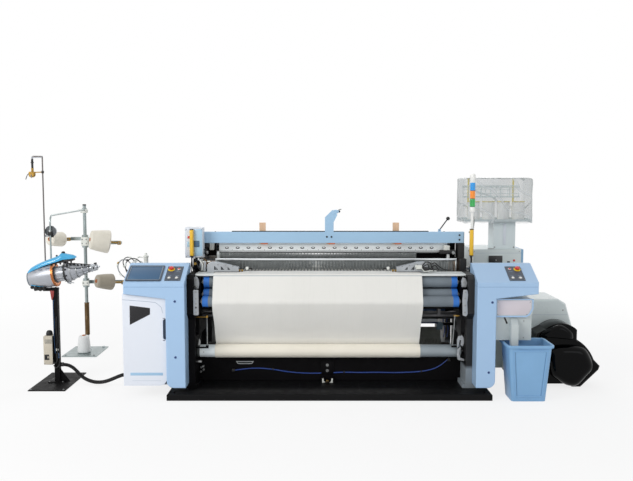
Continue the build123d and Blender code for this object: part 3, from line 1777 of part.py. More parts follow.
# Air hoses: the blue hose on the front rail and three loops on the left housing
air_radius = 5
air_block = 24
air_y = front_rail_y - air_radius - 1
blue_points = (
    (-765, air_y, 138),
    (-670, air_y, 152),
    (-565, air_y, 156),
    (-455, air_y, 146),
    (-345, air_y, 126),
    (-235, air_y, 115),
    (-120, air_y, 112),
    (0, air_y, 115),
    (125, air_y, 122),
    (255, air_y, 118),
    (385, air_y, 121),
    (515, air_y, 117),
    (640, air_y, 120),
    (755, air_y, 127),
    (850, air_y, 146),
    (920, air_y, 182),
    (966, air_y, 226),
)
loop_count = 3
loop_radius = 4
loop_points = (
    (-1546, 0),
    (-1546, 66),
    (-1602, 129),
    (-1640, 200),
    (-1622, 262),
    (-1562, 284),
    (-1508, 250),
    (-1480, 180),
    (-1470, 90),
    (-1470, 0),
)
loop_y = -520
loop_step = (26, 36)
loop_shrink = 0.08
air_tubes = [hose(blue_points, air_radius, "blue_hose")]
for loop in range(loop_count):
    points = [
        (x + loop * loop_step[0], loop_y + loop * loop_step[1], housing_top + rise * (1 - loop * loop_shrink))
        for x, rise in loop_points
    ]
    air_tubes.append(hose(points, loop_radius, f"air_loop_{loop + 1}"))
with BuildPart() as air_hoses:
    for tube in air_tubes:
        add(tube.part)
    for end, shift in ((blue_points[0], -air_block), (blue_points[-1], 0)):
        slab(
            (end[0] + shift, end[0] + shift + air_block),
            (air_y - air_block / 2, front_rail_y),
            (end[2] - air_block / 2, end[2] + air_block / 2),
        )
air_hoses.part.label = "air_hoses"
export_step(air_hoses.part, "parts/air_hoses.step")
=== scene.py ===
import math

import bmesh
import bpy
from mathutils import Matrix, Vector, noise


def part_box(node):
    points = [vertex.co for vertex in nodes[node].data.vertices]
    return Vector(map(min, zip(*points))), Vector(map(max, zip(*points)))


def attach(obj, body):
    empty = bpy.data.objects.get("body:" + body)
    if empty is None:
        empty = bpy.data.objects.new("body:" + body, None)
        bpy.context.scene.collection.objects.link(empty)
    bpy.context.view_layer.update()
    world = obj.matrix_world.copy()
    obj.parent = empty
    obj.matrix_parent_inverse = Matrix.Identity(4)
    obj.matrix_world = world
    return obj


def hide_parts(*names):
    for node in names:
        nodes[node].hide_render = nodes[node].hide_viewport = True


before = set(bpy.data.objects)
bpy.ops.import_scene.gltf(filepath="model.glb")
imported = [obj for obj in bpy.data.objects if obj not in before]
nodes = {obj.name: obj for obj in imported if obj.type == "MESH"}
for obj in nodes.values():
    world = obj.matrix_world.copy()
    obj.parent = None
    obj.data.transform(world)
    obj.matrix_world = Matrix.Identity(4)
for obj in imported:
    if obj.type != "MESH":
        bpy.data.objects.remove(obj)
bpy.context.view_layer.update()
scene = bpy.context.scene
scene.view_settings.view_transform = "Standard"
MM = 0.001
FRONT, UP = (0, -1, 0), (0, 0, 1)

# Camera at the photograph's angle
SENSOR, FOCAL_PIXELS, PHOTO_WIDTH = 36, 750, 633
TILT_DOWN = 4.76
camera_data = bpy.data.cameras.new("camera")
camera_data.sensor_width = SENSOR
camera_data.lens = SENSOR * FOCAL_PIXELS / PHOTO_WIDTH
camera_data.clip_end = 100
camera = bpy.data.objects.new("camera", camera_data)
camera.location = (-0.1, -6.5, 1.7)
camera.rotation_euler = (math.radians(90 - TILT_DOWN), 0, 0)
scene.collection.objects.link(camera)
scene.camera = camera

# Materials, by name
mats = {}


def rgb(r, g, b):
    def linear(c):
        c /= 255
        return c / 12.92 if c <= 0.04045 else ((c + 0.055) / 1.055) ** 2.4
    return (linear(r), linear(g), linear(b), 1)


def make_node(tree, kind, sockets=None, **settings):
    """A shader node with its settings, and its sockets linked or set."""
    node = tree.nodes.new("ShaderNode" + kind)
    for name, value in settings.items():
        setattr(node, name, value)
    for socket, value in (sockets or {}).items():
        if isinstance(value, bpy.types.NodeSocket):
            tree.links.new(value, node.inputs[socket])
        else:
            node.inputs[socket].default_value = value
    return node


class Shader:
    """A Principled material and the few nodes that vary it over the surface."""

    def __init__(self, name, base, rough=0.5, metal=0.0, coat=0.0, specular=0.5):
        mats[name] = bpy.data.materials.new(name)
        mats[name].use_nodes = True
        self.tree = mats[name].node_tree
        self.bsdf = self.tree.nodes["Principled BSDF"]
        self.base = self.colour = rgb(*base)
        self.set("Base Color", self.base)
        self.set("Roughness", rough)
        self.set("Metallic", metal)
        self.set("Coat Weight", coat)
        self.set("Specular IOR Level", specular)
        self.place = make_node(self.tree, "TexCoord").outputs["Object"]
        self.height = None

    def set(self, socket, value):
        self.bsdf.inputs[socket].default_value = value

    def drive(self, socket, out):
        self.tree.links.new(out, self.bsdf.inputs[socket])
        return self

    def math(self, kind, a, b):
        return make_node(self.tree, "Math", {0: a, 1: b}, operation=kind).outputs[0]

    def stretched(self, scale):
        return make_node(self.tree, "Mapping", {"Scale": scale, "Vector": self.place}).outputs[0]

    def noise(self, scale, detail=4.0, rough=0.55, place=None, warp=0.0):
        return make_node(self.tree, "TexNoise", {
            "Scale": scale, "Detail": detail, "Roughness": rough, "Distortion": warp, "Vector": place or self.place,
        }).outputs["Fac"]

    def wave(self, scale, direction, distortion=0.0, place=None):
        return make_node(self.tree, "TexWave", {
            "Scale": scale, "Distortion": distortion, "Detail": 2.0, "Vector": place or self.place,
        }, bands_direction=direction).outputs["Fac"]

    def ramp(self, fac, low, high, a=0.0, b=1.0):
        return make_node(self.tree, "MapRange", {
            "From Min": low, "From Max": high, "To Min": a, "To Max": b, "Value": fac,
        }).outputs["Result"]

    def heights(self):
        """The height above the floor, in metres."""
        return make_node(self.tree, "SeparateXYZ", {0: self.place}).outputs["Z"]

    def mixed(self, fac, a, b):
        mix = make_node(self.tree, "Mix", {0: fac, 6: a, 7: b}, data_type="RGBA", blend_type="MIX")
        self.colour = mix.outputs[2]
        return self.drive("Base Color", self.colour)

    def vary(self, amount=0.08, scale=2.0, tint=None):
        """Soft patches between a darker and a lighter shade of the base colour."""
        dark = tuple(c * (1 - amount) for c in self.base[:3]) + (1,)
        light = tuple(min(1, c * (1 + amount)) for c in self.base[:3]) + (1,)
        return self.mixed(self.ramp(self.noise(scale, 5), 0.3, 0.7), dark, tint or light)

    def over(self, fac, colour):
        """Another colour where fac is 1."""
        return self.mixed(fac, self.colour, rgb(*colour))

    def uneven(self, low, high, scale=14.0):
        return self.drive("Roughness", self.ramp(self.noise(scale, 5), 0.3, 0.7, low, high))

    def bump(self, height, distance, strength=1.0):
        """Bump of that real depth in metres, stacked on what is there."""
        below = {} if self.height is None else {"Normal": self.height}
        node = make_node(self.tree, "Bump", {"Distance": distance, "Strength": strength, "Height": height, **below})
        self.height = node.outputs["Normal"]
        return self.drive("Normal", self.height)

    def wear(self, colour, amount=0.5, width=0.002):
        """Rubbed edges: where a bevelled normal leaves the true one."""
        bevel = make_node(self.tree, "Bevel", {"Radius": width}, samples=4)
        true = make_node(self.tree, "NewGeometry").outputs["Normal"]
        dot = make_node(self.tree, "VectorMath", {0: bevel.outputs[0], 1: true}, operation="DOT_PRODUCT")
        edge = self.ramp(dot.outputs["Value"], 0.99, 0.85)
        patch = self.ramp(self.noise(30, 6, 0.7), 0.45, 0.62)
        return self.over(self.math("MULTIPLY", self.math("MULTIPLY", edge, patch), amount), colour)


def paint(name, base, rough=0.35, coat=0.15, vary=0.05, scale=1.6, peel=0.0003, edge=None):
    s = Shader(name, base, rough, coat=coat)
    s.vary(vary, scale).uneven(rough * 0.85, rough * 1.25).bump(s.noise(260, 2), peel, 0.35)
    if edge:
        s.wear(edge)
    return s


def metal(name, base, rough=0.3, vary=0.08, scale=5.0, brush=None):
    s = Shader(name, base, rough, metal=1.0)
    s.vary(vary, scale).uneven(rough * 0.75, rough * 1.35, 20)
    if brush:
        s.bump(s.noise(60, 3, 0.6, s.stretched(brush)), 0.0002, 0.5)


def plastic(name, base, rough=0.4, vary=0.04, coat=0.0):
    s = Shader(name, base, rough, coat=coat)
    s.vary(vary, 4).uneven(rough * 0.85, rough * 1.2, 25).bump(s.noise(700, 2), 0.00025, 0.4)


def yarn(name, base, dark):
    """Crossed windings on a package: two bands of fine threads."""
    s = Shader(name, base, 0.82)
    s.vary(0.05, 18)
    one = s.wave(95, "DIAGONAL", 1.2, s.stretched((1, 1, 1.6)))
    two = s.wave(95, "DIAGONAL", 1.2, s.stretched((-1, 1, 1.6)))
    s.over(s.ramp(s.math("MULTIPLY", one, two), 0.0, 0.3, 0.5, 0), dark)
    s.bump(s.math("ADD", one, two), 0.0006, 0.4)
    s.set("Sheen Weight", 0.3)


paint("cover_blue", (164, 196, 229), 0.33, 0.25, 0.03, 0.9, edge=(205, 222, 238))
paint("door_white", (226, 231, 240), 0.34, 0.25, 0.02, 0.9, edge=(245, 247, 250))
paint("housing_white", (214, 220, 228), 0.45, 0.05, 0.04)
paint("housing_grey", (198, 206, 206), 0.42, 0.1, 0.04, edge=(225, 230, 230))
paint("beam_blue", (163, 199, 228), 0.36, 0.2, 0.04, 1.2, edge=(215, 228, 240))
paint("beam_grey", (222, 226, 225), 0.38, 0.1, 0.06, 3)
paint("platform_black", (14, 14, 15), 0.5, 0, 0.25, 2.2, 0.0006, edge=(70, 70, 70)).set("Specular IOR Level", 0.12)
paint("frame_black", (7, 6, 8), 0.55, 0, 0.3, 6, 0.0009, edge=(60, 60, 64)).set("Specular IOR Level", 0.1)
paint("bracket_grey", (168, 172, 176), 0.42, 0.1, 0.1, 12, 0.0009, edge=(215, 218, 220))
paint("cabinet_grey", (208, 217, 217), 0.42, 0.1, 0.03, 1.0, edge=(228, 232, 230))
paint("cabinet_blue", (132, 172, 204), 0.38, 0.15, 0.04, edge=(190, 210, 228))
paint("hood_grey", (212, 222, 222), 0.3, 0.3, 0.03, 0.9, edge=(230, 236, 236))
paint("stand_black", (9, 8, 9), 0.5, 0, 0.2, 8, 0.0006, edge=(80, 80, 82)).set("Specular IOR Level", 0.12)
paint("rack_white", (214, 224, 226), 0.42, 0.1, 0.04, edge=(235, 240, 240))
paint("bin_blue", (131, 176, 216), 0.4, 0.05, 0.05, 3, 0.0005)
paint("core_light", (240, 248, 251), 0.35, 0.2, 0.05, 8)
paint("core_grey", (150, 160, 166), 0.35, 0.15, 0.08, 8)
paint("floor_grey", (120, 122, 116), 0.6, 0, 0.25, 16, 0.001)
paint("inner_steel", (104, 128, 144), 0.45, 0.1, 0.2, 10)
paint("heald_rail", (244, 248, 248), 0.4, 0.1, 0.05, 3, 0.0003)

plastic("curtain_yellow", (238, 190, 44), 0.35, 0.05, 0.2)
plastic("panel_dark", (62, 72, 86), 0.35, 0.1)
plastic("black_plastic", (20, 20, 22), 0.42, 0.15)
plastic("rubber_black", (17, 17, 18), 0.62, 0.2)
plastic("button_red", (205, 32, 28), 0.25, 0.05, 0.5)
plastic("strip_red", (142, 40, 36), 0.4, 0.08, 0.2)
plastic("key_white", (238, 238, 236), 0.35, 0.02, 0.2)
plastic("key_blue", (46, 86, 148), 0.35, 0.05, 0.2)
plastic("ring_yellow", (240, 205, 40), 0.35)
plastic("lamp_white", (240, 240, 236), 0.3, 0.02, 0.3)
plastic("fitting_white", (226, 228, 222), 0.4, 0.04)
plastic("fastener_blue", (28, 62, 124), 0.3, 0.08, 0.3)
plastic("trim_blue", (160, 196, 224), 0.35)
plastic("door_plate_black", (13, 12, 18), 0.28, 0.1)
plastic("cone_tube", (188, 112, 66), 0.6, 0.12)
plastic("hose_blue", (40, 72, 150), 0.3, 0.08, 0.3)
plastic("hose_grey", (150, 152, 154), 0.35, 0.08, 0.3)
plastic("oval_dark", (46, 50, 54), 0.5, 0.1)
plastic("bezel_light", (112, 130, 148), 0.35, 0.05)
plastic("seam_blue", (96, 132, 176), 0.5, 0.05)
plastic("seam_white", (160, 172, 188), 0.5, 0.05)
plastic("notch_shade", (70, 80, 96), 0.5, 0.1)
plastic("post_yellow", (232, 214, 120), 0.4, 0.05)
plastic("rim_yellow", (226, 206, 110), 0.4, 0.05)
plastic("curtain_lens", (196, 150, 30), 0.2, 0.05, 0.4)
plastic("lamp_frame", (66, 84, 92), 0.4, 0.05)
plastic("box_blue", (170, 204, 226), 0.35, 0.03, 0.2)
plastic("inner_blue", (34, 74, 116), 0.4, 0.1, 0.2)
plastic("trim_navy", (24, 36, 92), 0.4, 0.1, 0.2)
plastic("navy_end", (52, 88, 116), 0.4, 0.1)
plastic("handle_grey", (182, 188, 188), 0.4, 0.05)
plastic("fork_white", (212, 214, 208), 0.35, 0.06)
plastic("core_ring", (96, 100, 100), 0.45, 0.1)
plastic("emery_seam", (84, 92, 98), 0.8, 0.1)
plastic("bolt_dark", (36, 42, 50), 0.35, 0.1)
plastic("plank_orange", (206, 120, 84), 0.6, 0.1)
plastic("box_beige", (196, 188, 172), 0.45, 0.06)
plastic("bin_shade", (92, 132, 172), 0.5, 0.06)
plastic("disc_smoke", (84, 88, 92), 0.3, 0.1, 0.3)
plastic("inner_cover", (214, 206, 212), 0.35, 0.03, 0.15)

metal("shaft_iron", (92, 92, 94), 0.42, 0.2, 9)
metal("beam_aluminium", (212, 216, 216), 0.36, 0.06, 6, (1, 40, 40))
metal("nozzle_steel", (160, 163, 168), 0.24, 0.06)
metal("heald_aluminium", (214, 218, 218), 0.5, 0.05, 4, (1, 40, 40))
metal("wire_steel", (128, 130, 130), 0.36, 0.15, 30)
metal("roller_chrome", (200, 204, 208), 0.16, 0.05, 6, (60, 1, 1))
metal("beam_iron", (120, 124, 128), 0.45, 0.15, 6)
metal("temple_aluminium", (172, 176, 180), 0.42, 0.08, 14, (1, 30, 30))
metal("creel_steel", (158, 168, 168), 0.34, 0.12, 14)
metal("brass", (158, 126, 64), 0.36, 0.15, 30)
metal("bronze", (104, 84, 60), 0.4, 0.2, 20)
metal("feeder_copper", (206, 132, 78), 0.24, 0.08, 12, (1, 1, 60))
metal("drum_steel", (164, 168, 172), 0.28, 0.06, 10)
metal("lever_steel", (70, 72, 74), 0.32, 0.15, 14)
metal("reed_cap", (226, 230, 232), 0.34, 0.06, 6, (1, 60, 60))
metal("reed_steel", (140, 144, 144), 0.4, 0.15, 30)
metal("fastener_steel", (150, 152, 152), 0.35, 0.15, 30)
metal("post_chrome", (112, 108, 106), 0.22, 0.1, 20)
metal("creel_plate", (186, 194, 196), 0.4, 0.1, 12)

yarn("cone_cotton", (238, 233, 220), (218, 211, 194))
yarn("cone_taupe", (170, 162, 146), (136, 128, 112))
yarn("cone_white", (234, 236, 236), (212, 214, 214))
yarn("bobbin_cotton", (254, 254, 253), (246, 246, 243))

# The right side frame is painted grey. Above its foot it is coloured near black as painted shade.
frame_with_shade = paint("frame_grey_painted_shade", (142, 150, 156), 0.5, 0, 0.12, 6, 0.0012)
frame_with_shade.over(frame_with_shade.ramp(frame_with_shade.heights(), 0.2, 0.23), (8, 7, 9))

shell = Shader("feeder_shell", (168, 171, 177), 0.4, metal=0.5)
shell.vary(0.06, 12).uneven(0.28, 0.42).bump(shell.noise(420, 2), 0.0002, 0.4)
hood_blue = Shader("feeder_blue", (52, 164, 214), 0.18, coat=0.7)
hood_blue.vary(0.06, 9).bump(hood_blue.noise(200, 2), 0.0002, 0.3)
gloss = Shader("hood_black", (3, 3, 4), 0.08, specular=0.1)
gloss.vary(0.2, 3).bump(gloss.noise(5, 2), 0.0008, 0.4)
glass = Shader("screen_glass", (70, 102, 134), 0.16, specular=0.2)
glass.vary(0.05, 3)
# A pale diagonal band over the glass is a painted reflection.
glass.over(glass.math("MULTIPLY", glass.ramp(glass.wave(1.1, "DIAGONAL", 1.0), 0.7, 1.0), 0.12), (150, 180, 205))
for tone, colour in (("lamp_blue", (36, 150, 222)), ("lamp_orange", (244, 142, 32)), ("lamp_green", (42, 166, 78))):
    lens = Shader(tone, colour, 0.2, coat=0.5)
    lens.vary(0.1, 20).bump(lens.wave(60, "X"), 0.0008, 0.6)
    lens.set("Emission Color", rgb(*colour))
    lens.set("Emission Strength", 0.12)

wood = Shader("guide_wood", (224, 190, 158), 0.55)
wood.vary(0.06, 20)
grain_place = wood.stretched((30, 30, 3))
wood.over(wood.ramp(wood.noise(3, 5, 0.6, grain_place, 0.8), 0.5, 0.75, 0, 0.5), (196, 152, 118))
wood.bump(wood.noise(12, 4, 0.6, grain_place), 0.0006, 0.6)
emery = Shader("roller_emery", (112, 122, 130), 0.8)
emery.vary(0.1, 7)
emery.over(emery.ramp(emery.noise(500, 3), 0.52, 0.7, 0, 0.35), (165, 172, 178))
emery.bump(emery.noise(420, 4, 0.7), 0.0016, 0.8)
sleeve = Shader("roller_blue", (44, 112, 196), 0.55)
sleeve.vary(0.1, 12).bump(sleeve.noise(300, 3), 0.0008, 0.5)

# Cotton: slack streaks, weave, a sheen and a painted shade line along the breast beam's lip
cloth = Shader("cloth_cotton", (236, 235, 230), 0.86)
cloth.vary(0.025, 1.3)
cloth.over(cloth.ramp(cloth.noise(9, 5, 0.7, cloth.stretched((9, 0.4, 0.4))), 0.55, 0.8, 0, 0.18), (206, 206, 198))
cloth.over(cloth.ramp(cloth.noise(60, 3, 0.6, cloth.stretched((0.2, 5, 5))), 0.6, 0.8, 0, 0.10), (214, 212, 202))
cloth.bump(cloth.math("MULTIPLY", cloth.wave(320, "X"), cloth.wave(320, "Z")), 0.0005, 0.5)
cloth.bump(cloth.noise(5, 3, 0.5, cloth.stretched((3, 0.6, 0.6))), 0.006, 0.25)
cloth.set("Sheen Weight", 0.25)
cloth.set("Sheen Roughness", 0.5)
height = cloth.heights()
# A grey band at the height of the breast beam's lip is painted shade.
painted_lip_shade = cloth.math("MULTIPLY", cloth.ramp(height, 0.929, 0.933), cloth.ramp(height, 0.941, 0.937))
cloth.over(cloth.math("MULTIPLY", painted_lip_shade, 0.7), (168, 178, 184))
roll = Shader("roll_cotton", (240, 234, 218), 0.86)
roll.vary(0.03, 2.0, rgb(246, 240, 226)).bump(roll.wave(300, "X"), 0.0005, 0.4)
roll.set("Sheen Weight", 0.25)
warp = Shader("warp_cotton", (232, 230, 222), 0.8)
warp.vary(0.05, 30)
warp.over(warp.ramp(warp.wave(55, "X", 0.6), 0.0, 0.45, 0.45, 0), (150, 148, 140))
warp.bump(warp.wave(55, "X", 0.6), 0.0015, 0.7)
thread = Shader("thread_cotton", (234, 232, 225), 0.8)
thread.vary(0.06, 40).bump(thread.noise(900, 3), 0.0004, 0.6)

# Film: cloudy patches, denser where it is seen edge on, and pale crease lines
film = Shader("film_clear", (158, 166, 168), 0.3, specular=0.3)
film.vary(0.08, 5)
cloudy = film.ramp(film.noise(3, 2, 0.5, warp=0.5), 0.35, 0.7, 0.26, 0.4)
facing = make_node(film.tree, "LayerWeight", {"Blend": 0.3}).outputs["Facing"]
crease = film.ramp(film.wave(1.5, "DIAGONAL", 9, film.stretched((1, 1, 1.6))), 0.95, 1.0, 0, 0.45)
film.drive("Alpha", film.math("ADD", film.math("ADD", cloudy, film.math("MULTIPLY", facing, 0.4)), crease))
film.over(crease, (240, 244, 246)).bump(film.noise(4, 2, 0.5, warp=0.8), 0.0015, 0.3)


# Floor, backdrop and soft studio light
def seen_rays(tree):
    """1 for the rays that show the backdrop: the camera's, and those through glass or off gloss."""
    path = make_node(tree, "LightPath").outputs
    seen = make_node(tree, "Math", {0: path["Is Camera Ray"], 1: path["Is Transmission Ray"]}, operation="MAXIMUM")
    return make_node(tree, "Math", {0: seen.outputs[0], 1: path["Is Glossy Ray"]}, operation="MAXIMUM").outputs[0]


def floor_material(white, glow, near, far):
    """A pale floor with a part of its shadow near the object, and plain white from far on."""
    material = bpy.data.materials.new("floor")
    material.use_nodes = True
    tree = material.node_tree
    bsdf = tree.nodes["Principled BSDF"]
    bsdf.inputs["Base Color"].default_value = (white, white, white, 1)
    bsdf.inputs["Roughness"].default_value = 0.9
    bsdf.inputs["Specular IOR Level"].default_value = 0.1
    away = make_node(tree, "VectorMath", {0: make_node(tree, "TexCoord").outputs["Object"]}, operation="LENGTH")
    reach = make_node(tree, "MapRange", {
        "From Min": near, "From Max": far, "To Min": glow, "To Max": 1, "Value": away.outputs["Value"],
    }, interpolation_type="SMOOTHSTEP")
    share = make_node(tree, "Math", {0: seen_rays(tree), 1: reach.outputs["Result"]}, operation="MULTIPLY")
    light = make_node(tree, "Emission", {"Strength": 1})
    mix = make_node(tree, "MixShader", {0: share.outputs[0], 1: bsdf.outputs[0], 2: light.outputs[0]})
    tree.links.new(mix.outputs[0], tree.nodes["Material Output"].inputs["Surface"])
    return material


FLOOR_HALF, FLOOR_DROP = 30, -0.001
floor_mesh = bpy.data.meshes.new("floor")
floor_mesh.from_pydata([(x * FLOOR_HALF, y * FLOOR_HALF, FLOOR_DROP) for x, y in ((-1, -1), (1, -1), (1, 1), (-1, 1))],
                       [], [(0, 1, 2, 3)])
floor = bpy.data.objects.new("floor", floor_mesh)
scene.collection.objects.link(floor)
floor_mesh.materials.append(floor_material(white=0.86, glow=0.8, near=2.4, far=6.0))

world = bpy.data.worlds.new("studio")
scene.world = world
world.use_nodes = True
sky = world.node_tree
background = sky.nodes["Background"]
background.inputs["Color"].default_value = (1, 1, 1, 1)
SKY_AS_LIGHT, SKY_SEEN = 0.62, 1.0
strength = make_node(sky, "MapRange", {"To Min": SKY_AS_LIGHT, "To Max": SKY_SEEN, "Value": seen_rays(sky)})
sky.links.new(strength.outputs["Result"], background.inputs["Strength"])


def softbox(name, place, aim, size, power, tint=(1, 1, 1)):
    data = bpy.data.lights.new(name, "AREA")
    data.shape = "RECTANGLE"
    data.size, data.size_y = size
    data.energy = power
    data.color = tint
    light = bpy.data.objects.new(name, data)
    light.location = place
    light.rotation_euler = (Vector(aim) - Vector(place)).to_track_quat("-Z", "Y").to_euler()
    scene.collection.objects.link(light)


softbox("key", (-5.5, -5.5, 4.2), (-0.2, -0.2, 0.7), (4.0, 3.0), 250)
softbox("fill", (5.0, -6.0, 3.0), (0.6, 0.0, 0.7), (3.5, 3.0), 45, (0.93, 0.96, 1))
softbox("rim", (0.5, 5.5, 4.5), (0, 0, 0.8), (5.0, 2.0), 130)


# Mesh code: every shape is (points in millimetres, faces)
def rounded(mesh, r, steps=2):
    """Rounds a bmesh's sharp edges and ends it, giving its shape."""
    if r:
        sharp = [e for e in mesh.edges if len(e.link_faces) == 2 and e.calc_face_angle(0) > 0.5]
        bmesh.ops.bevel(
            mesh, geom=sharp, offset=r, offset_type="OFFSET", segments=steps, profile=0.5,
            affect="EDGES", clamp_overlap=True,
        )
    bmesh.ops.recalc_face_normals(mesh, faces=mesh.faces[:])
    mesh.verts.ensure_lookup_table()
    points = [v.co.copy() for v in mesh.verts]
    faces = [tuple(v.index for v in f.verts) for f in mesh.faces]
    mesh.free()
    return points, faces


def block(x, y, z, r=0.0, steps=2):
    mesh = bmesh.new()
    bmesh.ops.create_cube(mesh, size=1)
    for v in mesh.verts:
        v.co = Vector([reach[0] if c < 0 else reach[1] for reach, c in zip((x, y, z), v.co)])
    return rounded(mesh, r, steps)


AXES = {
    "x": lambda a, b, d: Vector((d, a, b)),
    "y": lambda a, b, d: Vector((a, d, b)),
    "z": lambda a, b, d: Vector((a, b, d)),
}


def prism(outline, axis, near, far, r=0.0):
    """A closed outline drawn across one axis and run along it."""
    mesh = bmesh.new()
    place = AXES[axis]
    low = [mesh.verts.new(place(a, b, near)) for a, b in outline]
    high = [mesh.verts.new(place(a, b, far)) for a, b in outline]
    mesh.faces.new(low)
    mesh.faces.new(high[::-1])
    for i, v in enumerate(low):
        j = (i + 1) % len(low)
        mesh.faces.new((low[j], v, high[i], high[j]))
    bmesh.ops.recalc_face_normals(mesh, faces=mesh.faces[:])
    return rounded(mesh, r)


def circle(count, radius=1, start=0):
    turns = [2 * math.pi * i / count + start for i in range(count)]
    return [(radius * math.cos(t), radius * math.sin(t)) for t in turns]


def plate_outline(x, z, r, count=6):
    """A rounded rectangle, counter-clockwise."""
    outline = []
    for cx, cz, start in ((x[1] - r, z[1] - r, 0), (x[0] + r, z[1] - r, 90), (x[0] + r, z[0] + r, 180),
                          (x[1] - r, z[0] + r, 270)):
        for i in range(count + 1):
            t = math.radians(start + 90 * i / count)
            outline.append((cx + r * math.cos(t), cz + r * math.sin(t)))
    return outline


def rings_mesh(rings, closed=True):
    """Joins rings of equal count, with flat caps."""
    count = len(rings[0])
    points = [Vector(p) for row in rings for p in row]
    faces = []
    for row in range(len(rings) - 1):
        a, b = row * count, (row + 1) * count
        for i in range(count):
            j = (i + 1) % count
            faces.append((a + i, a + j, b + j, b + i))
    if closed:
        last = (len(rings) - 1) * count
        faces.append(tuple(range(count))[::-1])
        faces.append(tuple(range(last, last + count)))
    return points, faces


def lathe(origin, axis, profile, count=32, closed=True):
    """profile is (along the axis, radius)."""
    axis = Vector(axis).normalized()
    side = axis.orthogonal().normalized()
    up = axis.cross(side)
    rings = []
    for along, radius in profile:
        centre = Vector(origin) + axis * along
        rings.append([centre + (side * a + up * b) * max(radius, 0.01) for a, b in circle(count)])
    return rings_mesh(rings, closed)


def rod(start, end, radius, count=16, r=0.0):
    start, end = Vector(start), Vector(end)
    reach = (end - start).length
    profile = [(0, radius), (reach, radius)]
    if r:
        profile = [(0, radius - r), (r, radius), (reach - r, radius), (reach, radius - r)]
    return lathe(start, end - start, profile, count)


def tube_ring(place, axis, inner, outer, height, count=36):
    """A flat ring with a hole, standing on place."""
    return lathe(place, axis, ((0, inner), (0, outer), (height - 1, outer), (height, outer - 1), (height, inner),
                               (0, inner)), count, False)


def smooth_path(points, steps=6):
    points = [Vector(p) for p in points]
    ends = [points[0] * 2 - points[1]] + points + [points[-1] * 2 - points[-2]]
    path = []
    for a, b, c, d in zip(ends, ends[1:], ends[2:], ends[3:]):
        for i in range(steps):
            t = i / steps
            path.append(0.5 * (
                2 * b + (c - a) * t + (2 * a - 5 * b + 4 * c - d) * t * t
                + (3 * b - a - 3 * c + d) * t ** 3
            ))
    path.append(points[-1])
    return path


def tube(points, radius, count=8, steps=6, radii=None):
    """A round tube along a smoothed line. radii changes the radius along it."""
    path = smooth_path(points, steps) if steps else [Vector(p) for p in points]
    heading = (path[1] - path[0]).normalized()
    side = heading.orthogonal().normalized()
    rings = []
    for i, p in enumerate(path):
        ahead = (path[min(i + 1, len(path) - 1)] - path[max(i - 1, 0)]).normalized()
        side = (side - ahead * side.dot(ahead)).normalized()
        up = ahead.cross(side)
        size = radii[i] if radii else radius
        rings.append([p + (side * a + up * b) * size for a, b in circle(count)])
    return rings_mesh(rings)


def grid(rows):
    """A surface through rows of points."""
    wide = len(rows[0])
    points = [Vector(p) for row in rows for p in row]
    faces = [
        (r * wide + c, r * wide + c + 1, (r + 1) * wide + c + 1, (r + 1) * wide + c)
        for r in range(len(rows) - 1) for c in range(wide - 1)
    ]
    return points, faces


def moved(shape, matrix):
    return [matrix @ p for p in shape[0]], shape[1]


def merged(shapes):
    points, faces = [], []
    for verts, polys in shapes:
        start = len(points)
        points += verts
        faces += [tuple(start + i for i in f) for f in polys]
    return points, faces


def piece(name, parts, body="machine", replaces=(), angle=35):
    """One object from several shapes, each with its own material."""
    points, faces = merged([shape for shape, _ in parts])
    names = list(dict.fromkeys(kind for _, kind in parts))
    kinds = [names.index(kind) for (_, polys), kind in parts for _ in polys]
    mesh = bpy.data.meshes.new(name)
    mesh.from_pydata([p * MM for p in points], [], faces)
    for kind in names:
        mesh.materials.append(mats[kind])
    mesh.polygons.foreach_set("material_index", kinds)
    mesh.shade_smooth()
    mesh.set_sharp_from_angle(angle=math.radians(angle))
    mesh.update()
    made = bpy.data.objects.new(name, mesh)
    scene.collection.objects.link(made)
    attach(made, body)
    if replaces:
        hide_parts(*replaces)
    return made


def screw(place, axis, radius, rise, top, tip, count, kind="fastener_steel"):
    """A low head that narrows from its radius to the tip's."""
    return lathe(place, axis, ((0, radius), (rise, radius), (top, tip)), count), kind


def bolt(place, axis=FRONT, size=7, kind="fastener_steel"):
    """A hexagon head on its washer."""
    washer = lathe(place, axis, ((0, size * 1.35), (1.2, size * 1.35)), 20)
    head = lathe(Vector(place) + Vector(axis) * 1.2, axis,
                 ((0, size), (size * 0.55, size), (size * 0.7, size * 0.85)), 6)
    return [(washer, kind), (head, kind)]


# CAD nodes that stay: their material and, where it helps, a rounded edge
def dress(name, kind, edge):
    node = nodes[name]
    for slot in node.material_slots:
        slot.material = mats[kind]
    if edge:
        weld = node.modifiers.new("weld", "WELD")
        weld.merge_threshold = 0.00001
        bevel = node.modifiers.new("edge", "BEVEL")
        bevel.width = edge * MM
        bevel.segments = 3
        bevel.limit_method = "ANGLE"
        bevel.angle_limit = math.radians(28)
        bevel.harden_normals = True
        bevel.miter_outer = "MITER_ARC"


